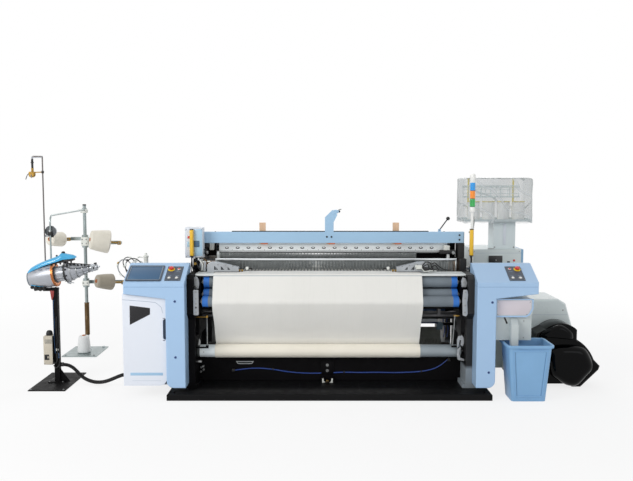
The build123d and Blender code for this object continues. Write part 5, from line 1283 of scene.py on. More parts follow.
def light_curtain():
    parts = [
        (block((-1175, -1026), (-396, -312), (1050, 1298), 5, 3), "housing_white"),
        (block((-1172, -1029), (-400, -394), (1054, 1294), 3), "housing_white"),
        (block((-1097, -1032), (-402, -398), (1066, 1284), 3), "box_blue"),
        (block((-1098, -1058), (-404, -401), (1142, 1186), 2), "screen_glass"),
        (block((-1101, -1055), (-403.4, -401), (1138, 1190), 2), "lamp_frame"),
        (block((-1152, -1136), (-403, -400), (1208, 1228), 2), "button_red"),
        (block((-1156, -1134), (-402, -400), (1140, 1184), 2), "box_blue"),
    ]
    parts += curtain_bar(-1116, (-430, -402), (1062, 1286))
    parts += curtain_bar(1168, (-402, -372), (1062, 1286))
    for z in (1100, 1250):
        parts.append((block((1150, 1186), (-374, -352), (z, z + 14), 2), "fastener_steel"))
        parts.append((block((-1136, -1096), (-404, -398), (z, z + 14), 2), "fastener_steel"))
    for z in (1062, 1280):
        for x in (-1164, -1038):
            parts.append(screw((x, -400, z), FRONT, 4, 1.4, 2, 3, 12))
    for k in range(6):
        parts.append((block((-1030, -1025.4), (-384 + k * 10, -379 + k * 10), (1076, 1120), 0.5), "lamp_frame"))
    piece("curtain_box_and_bars", parts, replaces=["light_curtain"])
    cables = [
        (tube([(1168, -386, 1064), (1169, -388, 1020), (1164, -392, 980), (1150, -400, 930), (1152, -410, 880),
               (1142, -420, 840)], 8, 14), "rubber_black"),
        (tube([(1180, -340, 1420), (1192, -332, 1380), (1196, -330, 1330), (1190, -334, 1280), (1186, -344, 1220),
               (1184, -346, 1120), (1180, -350, 1010)], 5, 12), "rubber_black"),
        (rod((1168, -386, 1046), (1168, -386, 1064), 10, 16, 2), "black_plastic"),
        (tube([(-1116, -414, 1062), (-1117, -416, 1030), (-1112, -420, 980), (-1100, -430, 940)], 6, 12),
         "rubber_black"),
        (rod((-1116, -414, 1050), (-1116, -414, 1063), 9, 16, 2), "black_plastic"),
    ]
    piece("curtain_cables", cables)


light_curtain()


# Signal tower: pole, three lamps between their joints, and a white cap
def signal_tower():
    x, y = 1176, -360
    low, lamp_height = 1422, 66
    parts = [
        (rod((x, y, 970), (x, y, low), 12, 32, 1), "lamp_white"),
        (block((x - 51, x - 14), (-390, -330), (950, 974), 3), "fastener_steel"),
        (block((x - 26, x + 26), (-390, -330), (950, 974), 3), "fastener_steel"),
        (lathe((x, y, low), UP, ((0, 18), (4, 22), (38, 22), (42, 20.5)), 40), "lamp_white"),
        (lathe((x, y, 974), UP, ((0, 22), (6, 22), (14, 14)), 32), "lamp_white"),
    ]
    z = low + 42
    for tone in ("lamp_green", "lamp_orange", "lamp_blue"):
        parts.append((lathe((x, y, z), UP, ((0, 20), (4, 20)), 40), "lamp_frame"))
        ribs = [(4, 21)]
        for rib in range(14):
            ribs += [(5 + rib * 4.2, 22), (7.6 + rib * 4.2, 21.2)]
        parts.append((lathe((x, y, z), UP, ribs + [(65, 22), (lamp_height, 21)], 48), tone))
        z += lamp_height
    parts.append((lathe((x, y, z), UP, ((0, 20.5), (3, 22), (60, 22), (68, 19), (72, 11)), 40), "lamp_white"))
    piece("signal_lamps", parts, replaces=["signal_tower"])


signal_tower()


# Top beam: dark strip, bolts, end caps and the arm's clamp
def beam_details():
    parts = [
        (block((-802, 830), (-293, -272), (1255.4, 1263), 1.5), "black_plastic"),
        (block((-1079, -1074), (-299, -263), (1166, 1254), 1), "navy_end"),
        (block((1119, 1125), (-299, -263), (1166, 1254), 1), "frame_black"),
        (block((-1072, 1117), (-297, -265), (1162.4, 1165), 1), "frame_black"),
        (prism([(36, 1388), (30, 1432), (58, 1440), (84, 1434), (88, 1420), (76, 1410), (54, 1402)], "y", -300.4,
               -291.6, 2), "beam_blue"),
    ]
    for x, z, size in ((1086, 1228, 6), (1086, 1190, 6), (-14, 1214, 6), (24, 1214, 6)):
        parts += bolt((x, -300, z), size=size, kind="bolt_dark")
    for x in (-940, 960):
        parts += bolt((x, -281, 1256), axis=UP, size=5)
    parts.append((rod((88, -300, 1424), (88, -262, 1424), 9, 20, 1.5), "frame_black"))
    parts.append((rod((80, -304, 1438), (106, -304, 1444), 4, 12, 1), "fastener_steel"))
    for x in (-560, 0, 552):
        parts.append((block((x, x + 54), (-299, -262), (1152, 1163), 2), "plank_orange"))
    piece("beam_details", parts)


beam_details()


def hand_lever_ball():
    """The ball is laid over the lever's own."""
    low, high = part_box("hand_lever")
    centre = Vector((high[0] / MM - 15, (low[1] + high[1]) / 2 / MM, high[2] / MM - 15))
    rings = [(15.4 - 15.6 * math.cos(t), 15.6 * math.sin(t)) for t in (i * math.pi / 14 for i in range(15))]
    piece("lever_ball", [(lathe(centre - Vector((0, 0, 15.4)), UP, rings, 28), "black_plastic")],
          body="lever")


hand_lever_ball()


# Covers: glass, key rings, fasteners and seams
cover_front = -850
slope_low, slope_high, slope_back = 906, 1028, -600
left_plate_x, right_plate_x, screen_x = -1202, 1436, -1424
key_across, key_up, start_up, stop_up = 29, 66, 188, 184


def on_panel(x):
    """From (across, up the slope, off the slope) to the model's own place."""
    tilt = math.atan2(slope_high - slope_low, slope_back - cover_front)
    return Matrix.Translation((x, cover_front, slope_low)) @ Matrix.Rotation(tilt, 4, "X")


def operator_glass():
    screen = on_panel(screen_x)
    parts = [
        (moved(block((-120, 120), (38, 218), (5.6, 6.6), 1), screen), "screen_glass"),
    ]
    for u, v in (((-126, 126), (32, 38.4)), ((-126, 126), (217.6, 224)), ((-126, -119.6), (32, 224)),
                 ((119.6, 126), (32, 224))):
        parts.append((moved(block(u, v, (7.9, 8.5), 0.4), screen), "bezel_light"))
    for plate_x, side in ((left_plate_x, -1), (right_plate_x, 1)):
        plate = on_panel(plate_x)
        parts.append((moved(tube_ring((side * key_across, stop_up, 3), UP, 10.8, 27, 3), plate), "ring_yellow"))
        for u, v in ((-side * key_across, start_up), (-key_across, key_up), (key_across, key_up)):
            parts.append((moved(tube_ring((u, v, 3), UP, 10.8, 15, 2), plate), "fastener_steel"))
        for u, v in ((-52, 36), (52, 36), (-52, 220), (52, 220)):
            head, kind = screw((u, v, 3), UP, 3.5, 1.2, 1.8, 2.4, 14)
            parts.append((moved(head, plate), kind))
        for u, v, wide in ((-side * key_across, 152, 30), (-key_across, 94, 26), (key_across, 94, 26)):
            parts.append((moved(block((u - wide / 2, u + wide / 2), (v - 3, v + 3), (2.9, 3.4), 0.3), plate),
                          "bezel_light"))
    piece("operator_glass", parts)
    for side, plate_x, stop_side in (("left", left_plate_x, -1), ("right", right_plate_x, 1)):
        plate = on_panel(plate_x)
        cap = lathe((-stop_side * key_across, start_up, 7.4), UP, ((0, 8.5), (1, 8.5), (1.8, 6.5)), 28)
        piece(f"{side}_start_cap", [(moved(cap, plate), "button_red")], body=f"{side}_push_1")
        for number, u in ((2, -key_across), (3, key_across)):
            cap = lathe((u, key_up, 7.4), UP, ((0, 9), (0.9, 9), (1.8, 7.5)), 28)
            piece(f"{side}_key_cap_{number}", [(moved(cap, plate), "key_white")],
                  body=f"{side}_push_{number}")
        mushroom = ((0, 15), (1, 18.6), (5, 19.4), (9, 18), (12, 13), (13, 6), (13.2, 0.1))
        head = lathe((stop_side * key_across, stop_up, 12), UP, mushroom, 40)
        piece(f"{side}_stop_cap", [(moved(head, plate), "button_red")], body=f"{side}_stop")


operator_glass()


def fastener(x, z):
    """A quarter-turn screw in its cup."""
    y = cover_front
    return [
        (lathe((x, y + 1, z), FRONT, ((0, 13), (1.6, 13), (2.6, 11.5), (2.6, 9.8), (1.6, 9.6)), 32), "cover_blue"),
        (lathe((x, y, z), FRONT, ((0, 9.4), (2.2, 9.4), (3.4, 8.2), (3.4, 0.1)), 32), "fastener_blue"),
        (block((x - 6, x + 6), (y - 3.9, y - 3.3), (z - 1.1, z + 1.1), 0.3), "black_plastic"),
    ]


def cover_details():
    left, left_inner = -1571.3, -1105.3
    right_inner, right = 1125.3, 1591.3
    parts = []
    for x, z in ((-1179, 764), (-1180, 331), (1239, 756), (1221, 213)):
        parts += fastener(x, z)
    for low, high in ((left + 6, left_inner - 5), (right_inner + 5, right - 6)):
        parts.append((block((low, high), (cover_front - 0.5, cover_front + 1), (873, 875.2), 0.4), "seam_blue"))
    for x, side in ((left_inner, 1), (right_inner, -1), (left, -1), (right, 1)):
        parts.append((block(sorted((x, x + side * 0.5)), (-842, -566), (873, 875.2), 0.3), "seam_blue"))
    piece("cover_screws", parts)


cover_details()


# Left door and housing: bare plate, stripe, contour line, hinge notches, and the housing's vents
def door_details():
    face = -820.3
    parts = [
        (prism([(-1531, 728), (-1532, 577), (-1376, 659), (-1375, 708)], "y", face - 1.6, face + 0.4, 1),
         "door_plate_black"),
        (block((-1535, -1284), (face - 0.8, face + 0.4), (182, 204), 0.5), "trim_blue"),
        (block((-1520, -1300), (face - 0.5, face + 0.4), (140, 141.6), 0.3), "seam_white"),
        (prism([(-1587, 774), (-1400, 760), (-1330, 752), (-1288, 716), (-1276, 668), (-1279, 668), (-1291, 714),
                (-1331, 748.5), (-1400, 756.5), (-1587, 770.5)], "y", face - 0.5, face + 0.4, 0.3), "seam_white"),
        (block((-1279, -1262), (face - 0.6, face + 0.4), (454, 459), 0.4), "notch_shade"),
        (block((-1279, -1262), (face - 0.6, face + 0.4), (626, 631), 0.4), "notch_shade"),
        (block((-1278, -1258), (-802, -793), (470, 615), 2), "notch_shade"),
    ]
    piece("door_details", parts, body="door")
    parts = []
    for k in range(9):
        z = 250 + k * 16
        parts.append((block((-1579, -1576.4), (-700, -480), (z, z + 6), 0.6), "notch_shade"))
        parts.append((block((-1520, -1360), (-300.4, -297.6), (z, z + 6), 0.6), "notch_shade"))
    for y in (-740, -350):
        for z in (120, 762):
            parts += bolt((-1577, y, z), axis=(-1, 0, 0), size=4)
    piece("housing_vents", parts)


door_details()


# Right housing: slot beside the chute, panel screws and a rear vent
def housing_details():
    parts = [
        (prism([(1338, 641), (1352, 641), (1378, 582), (1366, 576)], "y", -782, -779, 1.5), "black_plastic"),
        (block((1284, 1553), (-804.6, -803.6), (757, 759), 0.3), "seam_white"),
        (tube_ring((1419, -818, 399), (0, 0, -1), 12, 21, 5), "housing_white"),
    ]
    for x, z in ((1294, 752), (1540, 752), (1294, 656), (1516, 656)):
        parts.append(screw((x, -804, z), FRONT, 5, 1.4, 2, 3.6, 16))
    for k in range(8):
        z = 500 + k * 20
        parts.append((block((1559.4, 1561.6), (-660, -400), (z, z + 7), 0.6), "notch_shade"))
    for place in ((1500, -780, 470), (1500, -780, 600), (1555, -700, 740)):
        parts += bolt(place, size=3.5)
    piece("right_housing_details", parts)


housing_details()


# Drive hood: seams, screws and louvres
def hood_details():
    parts = [
        (block((1640, 1642), (-300.8, -299.6), (20, 678), 0.3), "seam_white"),
        (block((1572, 2000), (-300.8, -299.6), (560, 562), 0.3), "seam_white"),
        (block((1560, 2082), (-302, 98), (0, 10), 1), "rubber_black"),
    ]
    for x, z in ((1600, 640), (1600, 520), (1960, 600), (1600, 60)):
        parts.append(screw((x, -300, z), FRONT, 7, 1.6, 2.4, 5, 20))
    for k in range(10):
        z = 120 + k * 18
        parts.append((block((2081.4, 2083.4), (-220, 20), (z, z + 7), 0.7), "notch_shade"))
        parts.append((block((1640, 1880), (99, 101.4), (z, z + 7), 0.7), "notch_shade"))
    piece("drive_hood_details", parts)


hood_details()


# Waste bin: tapered walls in one skin, a wide turned rim and framed faces
bin_x, bin_y, bin_height = 1520, -790, 439
strip_inset = 34


def bin_half(z):
    """Half the bin's width and depth at a height."""
    share = z / bin_height
    return 131 + 34 * share, 105 + 30 * share


def waste_bin():
    def wall(z, grow):
        half_x, half_y = (half + grow for half in bin_half(z))
        outline = plate_outline((bin_x - half_x, bin_x + half_x), (bin_y - half_y, bin_y + half_y), max(6, 24 + grow))
        return [(x, y, z) for x, y in outline]

    outer = [wall(0, -4), wall(0, -1), wall(3, 0), wall(60, 0), wall(220, 0), wall(360, 0), wall(417, 0)]
    rim = [wall(418, 13), wall(419, 15), wall(422, 16), wall(436, 16), wall(439, 13), wall(439, 0)]
    inner = [wall(437, -2.6), wall(400, -3), wall(220, -3), wall(60, -3), wall(6, -4), wall(3, -10)]
    parts = [(rings_mesh(outer + rim + inner), "bin_blue")]
    for side in (-1, 1):
        ridge, shade = [], []
        for z in (40, 130, 220, 310, 392):
            half_x, half_y = bin_half(z)
            x, y = bin_x + side * (half_x - strip_inset), bin_y - half_y
            ridge.append([(x + d, y - lift, z) for d, lift in ((-6, -0.5), (-4, 4), (4, 4), (6, -0.5))])
            shade.append([(x - side * (8 + w), y - 0.7, z) for w in (0, 3.4)])
        parts += [(grid(ridge), "bin_blue"), (grid(shade), "bin_shade")]
    for z in (40, 392):
        half_x, half_y = bin_half(z)
        half, y = half_x - strip_inset, bin_y - half_y
        parts.append((block((bin_x - half, bin_x + half), (y - 4, y + 1), (z - 5, z + 5), 2), "bin_blue"))
    for z in (400, 405, 410):
        y = bin_y - bin_half(z)[1]
        parts.append((block((bin_x - 96, bin_x + 96), (y - 1.2, y + 1), (z - 1, z + 1), 0.5), "bin_blue"))
    piece("bin_body", parts, replaces=["waste_bin"], angle=40)


waste_bin()


# Cabinet: dark plate of the switch, lamps, seams, vents and the door's lock
def cabinet_details():
    y = 100
    x, z = 1482, 968
    lamp = ((0, 10), (3, 10), (4, 8), (4.2, 7), (8, 6.5), (10, 3))
    plate = [(x - 61, z + 49), (x - 61, z - 27), (x - 39, z - 49), (x + 61, z - 49), (x + 61, z + 49)]
    parts = [
        (prism(plate, "y", y - 11.2, y - 9.6, 1), "black_plastic"),
        (block((1588, 1612), (y - 5, y), (943, 967), 2), "black_plastic"),
        (block((1591, 1609), (y - 6, y - 4), (946, 964), 1), "lamp_frame"),
        (lathe((1648, y, 973), FRONT, lamp, 24), "button_red"),
        (lathe((1647, y, 933), FRONT, lamp, 24), "lamp_green"),
        (block((1279, 1709), (y - 0.6, y + 0.6), (1038, 1040), 0.3), "seam_white"),
        (block((1300, 1302), (y - 0.6, y + 0.6), (70, 1030), 0.3), "seam_white"),
        (block((1420, 1474), (y + 18, y + 26), (1072, 1080), 2), "fastener_steel"),
    ]
    for k in range(10):
        parts.append((block((1330, 1430), (y - 0.8, y + 0.6), (200 + k * 20, 208 + k * 20), 0.5), "notch_shade"))
        parts.append((block((1277.6, 1279.4), (200, 460), (300 + k * 26, 308 + k * 26), 0.5), "notch_shade"))
        parts.append((block((1380, 1600), (559, 561.4), (200 + k * 26, 208 + k * 26), 0.5), "notch_shade"))
    for across, height in ((1296, 1052), (1692, 1052), (1296, 80), (1692, 80)):
        parts.append(screw((across, y, height), FRONT, 4, 1.5, 2, 3, 12))
    piece("cabinet_details", parts)
    grip = [
        (lathe((x, y - 0.3, z), FRONT, ((13, 22.4), (14.6, 22.4), (16, 20)), 48), "black_plastic"),
        (block((x - 1.6, x + 1.6), (y - 30, y - 27.8), (z + 4, z + 18), 0.5), "key_white"),
    ]
    for a, b in circle(24, 21.6):
        grip.append((rod((x + a, y - 2, z + b), (x + a, y - 14, z + b), 1.1, 8), "black_plastic"))
    piece("switch_grip", grip, body="switch")
    door = [
        (block((1731, 1736), (140, 156), (520, 640), 2), "black_plastic"),
        (rod((1731, 148, 500), (1738, 148, 500), 11, 24, 1.5), "fastener_steel"),
        (block((1730.8, 1731.8), (130, 540), (1030, 1032), 0.3), "seam_blue"),
    ]
    for k in range(12):
        door.append((block((1730.6, 1732.4), (240, 430), (160 + k * 18, 167 + k * 18), 0.5), "seam_blue"))
    piece("cabinet_door_details", door, body="cabinet_lid")


cabinet_details()


# Rack: wire grid, yellow sleeves and four wound packages
rack_left, rack_right, rack_floor = 1196, 1784, 1326
package_y, package_pitch = 150, 132


def rack_details():
    parts = []
    upright_y = 360
    for x in (rack_left + 90, rack_right - 90):
        parts.append((rod((x, upright_y, 1350), (x, upright_y, 1696), 8.2, 24, 1), "post_yellow"))
    for k in range(11):
        x = rack_left + 40 + k * 50.8
        parts.append((rod((x, upright_y - 8, 1524), (x, upright_y - 8, 1634), 2.2, 10), "rack_white"))
    for z in (1526, 1560, 1600, 1632):
        parts.append((rod((rack_left + 34, upright_y - 8, z), (rack_right - 34, upright_y - 8, z), 2.4, 10),
                      "rack_white"))
    for x in (rack_left + 1, rack_right - 1):
        parts.append((rod((x, 80, 1340.6), (x, 380, 1340.6), 2.2, 10), "rack_white"))
    parts.append((block((1466, 1664), (128, 332), (1072, 1080), 2), "rack_white"))
    for x in (1480, 1650):
        parts += bolt((x, 130, 1088), size=5)
    parts.append((block((1552, 1578), (127, 130.6), (1110, 1300), 1), "housing_white"))
    piece("rack_details", parts)


def rack_packages():
    parts = []
    for k in range(4):
        x = (rack_left + rack_right) / 2 + (k - 1.5) * package_pitch
        place = (x, package_y, rack_floor)
        wound = [(6, 50)] + [(8 + i * 7.7, 53.6 + 0.35 * math.sin(i * 1.9 + k)) for i in range(21)] + [(164, 50)]
        parts.append((lathe(place, UP, wound, 56), "bobbin_cotton"))
        for z in (0, 164):
            parts.append((lathe(place, UP, ((z, 55), (z + 0.8, 58), (z + 5.2, 58), (z + 6, 55), (z + 6, 20)), 56),
                          "rim_yellow"))
        parts.append((tube_ring((x, package_y, rack_floor + 169), UP, 12, 22, 2), "housing_white"))
        parts.append((rod((x, package_y, rack_floor + 150), (x, package_y, rack_floor + 169.5), 12, 24), "lamp_frame"))
    piece("rack_packages", parts, replaces=["rack_bobbins"])


rack_details()
rack_packages()


# Film: a thin bag over the rack, creased and pulled in between its corners
def film_bag():
    x0, x1, y0, y1 = 1184, 1796, 48, 412
    low, high, top_limit = 1308, 1705, 1712
    shoulder, hem_height, sag_height = 26, 26, 330
    cx, cy = (x0 + x1) / 2, (y0 + y1) / 2
    half_x, half_y = (x1 - x0) / 2, (y1 - y0) / 2
    flat, count = (1.96, 0.7), 200

    def outline(shrink, corner):
        """A rounded rectangle of evenly spaced points, from its front left corner."""
        hx, hy = half_x * shrink, half_y * shrink
        corner = min(corner, hy * 0.9)
        centres = [Vector((a * (hx - corner), b * (hy - corner))) for a, b in ((1, -1), (1, 1), (-1, 1), (-1, -1))]
        bend = math.pi * corner / 2
        reach = [2 * (hx - corner), bend, 2 * (hy - corner), bend] * 2
        ring = []
        for i in range(count):
            s = sum(reach) * i / count
            for side in range(8):
                if s <= reach[side]:
                    break
                s -= reach[side]
            turn = (side // 2 - 1) * math.pi / 2
            if side % 2:
                turn += s / corner
                ring.append(centres[side // 2] + Vector((math.cos(turn), math.sin(turn))) * corner)
            else:
                normal = Vector((math.cos(turn), math.sin(turn)))
                ring.append(centres[side // 2 - 1] + normal * corner + Vector((-normal.y, normal.x)) * s)
        return ring

    def crease(p):
        a = noise.noise(Vector((p.x * 0.006, p.y * 0.006, p.z * 0.007)))
        b = abs(noise.noise(Vector((p.x * 0.01 + 7, p.y * 0.01, p.z * 0.008 + 3))))
        return a * 8 - b * 9

    levels = [(low + (high - shoulder - low) * i / 54, 1.0) for i in range(55)]
    levels += [(high - 14, 0.985), (high - 5, 0.955), (high - 1, 0.9), (high, 0.8), (high, 0.65), (high, 0.48),
               (high, 0.3), (high, 0.12), (high, 0.03)]
    rings = []
    for z, shrink in levels:
        ring = []
        for p in outline(shrink, 34):
            place = Vector((p.x, p.y, z))
            lift = crease(place)
            out = Vector((p.x / half_x, p.y / half_y, 0)).normalized()
            sag = -9 * math.sin(math.pi * min(1, (z - low) / sag_height)) * (1 - abs(p.x / half_x) ** 6)
            if shrink < 0.99:
                place.z += lift * 0.6 - 10 * (1 - max(abs(p.x / half_x), abs(p.y / half_y)) ** 2)
            else:
                place += out * (lift * 0.8 + sag - 2)
                hem = 1 - min(1, (z - low) / hem_height)
                place.z += hem * 9 * noise.noise(Vector((p.x * 0.02, p.y * 0.02, 1)))
            ring.append((place.x + cx, place.y + cy, min(place.z, top_limit)))
        rings.append(ring)
    bag = piece("film_bag", [(rings_mesh(rings, False), "film_clear")], replaces=["film_cover"], angle=70)
    bag.visible_shadow = False


film_bag()


# Platform: seams of the drip tray, corner bolts and the side frames' foot bolts
def platform_details():
    parts = []
    for x in range(-1180, 1200, 472):
        parts.append((block((x, x + 2), (-860, -560), (48.6, 49.6), 0.3), "rubber_black"))
    for x in (-1198, 1198):
        for y in (-830, 830):
            parts += bolt((x, y, 49), axis=UP, size=8, kind="frame_black")
    for x in (-1122, 1142):
        for y in (-700, -600, 700, 800):
            parts += bolt((x, y, 79), axis=UP, size=7)
    piece("platform_bolts", parts)


platform_details()


# Weft feeder: shell, drum, collar, meshed cone and nozzle
feeder_centre = (-2256, -345, 906)
feeder_place = Matrix.Translation(feeder_centre) @ Matrix.Rotation(math.radians(-10), 4, "Y")
along = (1, 0, 0)


def arch(a, half, low, top, bulge=1.0, count=18):
    """One section of the feeder's hood: a flat underside and a rounded top."""
    ring = []
    for i in range(count + 1):
        t = math.pi * i / count
        ring.append((a, -half * math.cos(t), low + (top - low) * math.sin(t) ** bulge))
    return ring + [(a, half * 0.8, low + 1), (a, 0, low + 1), (a, -half * 0.8, low + 1)]


def feeder_hood():
    sections = ((-226, 18, 34, 42), (-222, 28, 40, 56), (-208, 36, 50, 74), (-180, 42, 62, 94), (-130, 48, 74, 112),
                (-70, 54, 88, 127), (-10, 56, 98, 138), (30, 54, 102, 145), (62, 50, 106, 152), (80, 46, 110, 166),
                (96, 42, 112, 169), (112, 38, 111, 160), (140, 36, 108, 149), (168, 30, 106, 139), (190, 22, 106, 128),
                (197, 12, 108, 120))
    hood = rings_mesh([arch(*s, 0.8) for s in sections])
    chin = rings_mesh([
        [(a, half * math.cos(t), -low - drop * abs(math.sin(t)))
         for t in [math.pi * i / 16 for i in range(17)]] + [(a, -half * 0.7, -low + 12), (a, half * 0.7, -low + 12)]
        for a, half, low, drop in ((-224, 24, 34, 8), (-218, 38, 38, 16), (-196, 48, 46, 22), (-150, 50, 56, 24),
                                   (-110, 46, 66, 22), (-92, 34, 76, 14))
    ])
    parts = [(moved(hood, feeder_place), "feeder_blue"), (moved(chin, feeder_place), "feeder_blue")]
    for a, b, r in ((98, 168, 13), (40, 148, 7)):
        cap = lathe((a, 0, b), (0.12, 0, 1), ((-6, r + 2), (2, r + 2), (6, r), (9, r * 0.6), (10, 0.1)), 28)
        parts.append((moved(cap, feeder_place), "rubber_black"))
    parts.append((moved(lathe((-224, 0, 2), (-1, 0, 0), ((-4, 30), (4, 30), (9, 22), (10, 9), (2, 8)), 36),
                        feeder_place), "trim_navy"))
    for a, y in ((-150, -71), (-90, -76), (-30, -74)):
        slot = block((a - 16, a + 16), (y - 1.5, y + 4), (62, 66), 1)
        parts.append((moved(slot, feeder_place), "inner_blue"))
    piece("feeder_hood", parts)


def feeder_details():
    parts = []

    def add(shape, kind):
        parts.append((moved(shape, feeder_place), kind))

    for a, b, r in ((-197, -74, 14), (-166, -88, 18), (-134, -100, 17), (-104, -108, 14)):
        add(lathe((a, -34, b + 8), (0, -1, -0.4), ((0, r), (12, r), (16, r - 3), (17, 0.1)), 24), "rubber_black")
    add(block((-192, -92), (-36, 30), (-104, -74), 8), "black_plastic")
    add(block((2, 176), (-30, 30), (88, 108), 5), "black_plastic")
    for a in (20, 60, 120, 150):
        add(block((a, a + 14), (-34, -26), (74, 100), 3), "black_plastic")
    for a, inner, outer in ((-216, 59, 62), (-4, 95.5, 99)):
        add(tube_ring((a, 0, 0), along, inner, outer, 6, 64), "lamp_frame")
    for y, b in circle(14, 60.5):
        add(rod((12, y, b), (80, y, b), 4.2, 10, 1), "drum_steel")
    add(tube_ring((78, 0, 0), along, 40, 66, 6, 56), "drum_steel")
    add(tube_ring((8.5, 0, 0), along, 30, 72, 4, 56), "lamp_frame")
    for a, inner, outer, wide in ((86, 64, 78, 9), (97, 70, 90, 8)):
        add(tube_ring((a, 0, 0), along, inner, outer, wide, 64), "black_plastic")
    for k, (y, b) in enumerate(circle(10, 82, 0.08 * math.pi)):
        add(block((84, 118), (y - 6, y + 6), (b - 6, b + 6), 2), "black_plastic" if k % 3 else "fastener_steel")
    for k, (y, b) in enumerate(circle(18)):
        add(rod((104, 80 * y, 80 * b), (296, 22 * y, 22 * b), 1.7, 8), "drum_steel" if k % 2 else "lamp_frame")
    for a, r in ((140, 74.5), (188, 60.5), (236, 46.5), (280, 33)):
        add(tube_ring((a, 0, 0), along, r - 4, r, 5, 56), "fastener_steel")
    for a, y, b, size in ((126, -58, 60, 9), (152, -44, 60, 8), (176, -30, 58, 10), (206, -30, 44, 7),
                          (232, -16, 42, 8), (258, -18, 30, 6)):
        add(lathe((a, y, b), (0.2, -0.7, 0.7), ((0, size), (8, size), (11, size * 0.7), (12, 0.1)), 18), "rubber_black")
    add(tube([(118, -40, 84), (150, -52, 74), (196, -40, 62), (240, -30, 50), (296, -20, 34), (336, -8, 27)], 3.4, 10),
        "rubber_black")
    add(tube([(100, -60, 66), (140, -66, 40), (200, -52, 26), (270, -34, 20), (320, -20, 18)], 2.6, 8), "rubber_black")
    for a, inner, outer, wide, kind in ((298, 18, 31, 12, "drum_steel"), (322, 18, 28, 9, "rubber_black"),
                                        (344, 12, 26, 8, "drum_steel")):
        add(tube_ring((a, 0, 0), along, inner, outer, wide, 40), kind)
    for y in (-26, 22):
        add(block((304, 346), (y, y + 5), (-24, 30), 1.5), "drum_steel")
    add(block((330, 350), (-12, 12), (20, 40), 3), "black_plastic")
    add(rod((352, 0, 2), (372, 0, 2), 7, 20, 1.5), "drum_steel")
    piece("feeder_details", parts)
    spin = [(moved(tube_ring((-8 + k * 4.4, 0, 0), along, 96 if k else 97, 101.4 - abs(k - 1.5) * 1.2, 3.2, 72),
                   feeder_place), "feeder_copper") for k in range(4)]
    for y, b in circle(6, 84, 0.3):
        head, kind = screw((7.6, y, b), along, 4, 1.6, 2.2, 2.6, 12, "shaft_iron")
        spin.append((moved(head, feeder_place), kind))
    piece("feeder_ring", spin, body="disc")
    low = [
        (tube([(-2147, -386, 876), (-2146, -392, 858), (-2139, -392, 843), (-2115, -390, 836)], 4.5, 10), "drum_steel"),
        (rod((-2139, -392, 850), (-2090, -392, 842), 4, 12), "drum_steel"),
        (block((-2152, -2134), (-398, -372), (862, 882), 3), "drum_steel"),
    ]
    piece("feeder_bracket", low)


feeder_hood()
feeder_details()


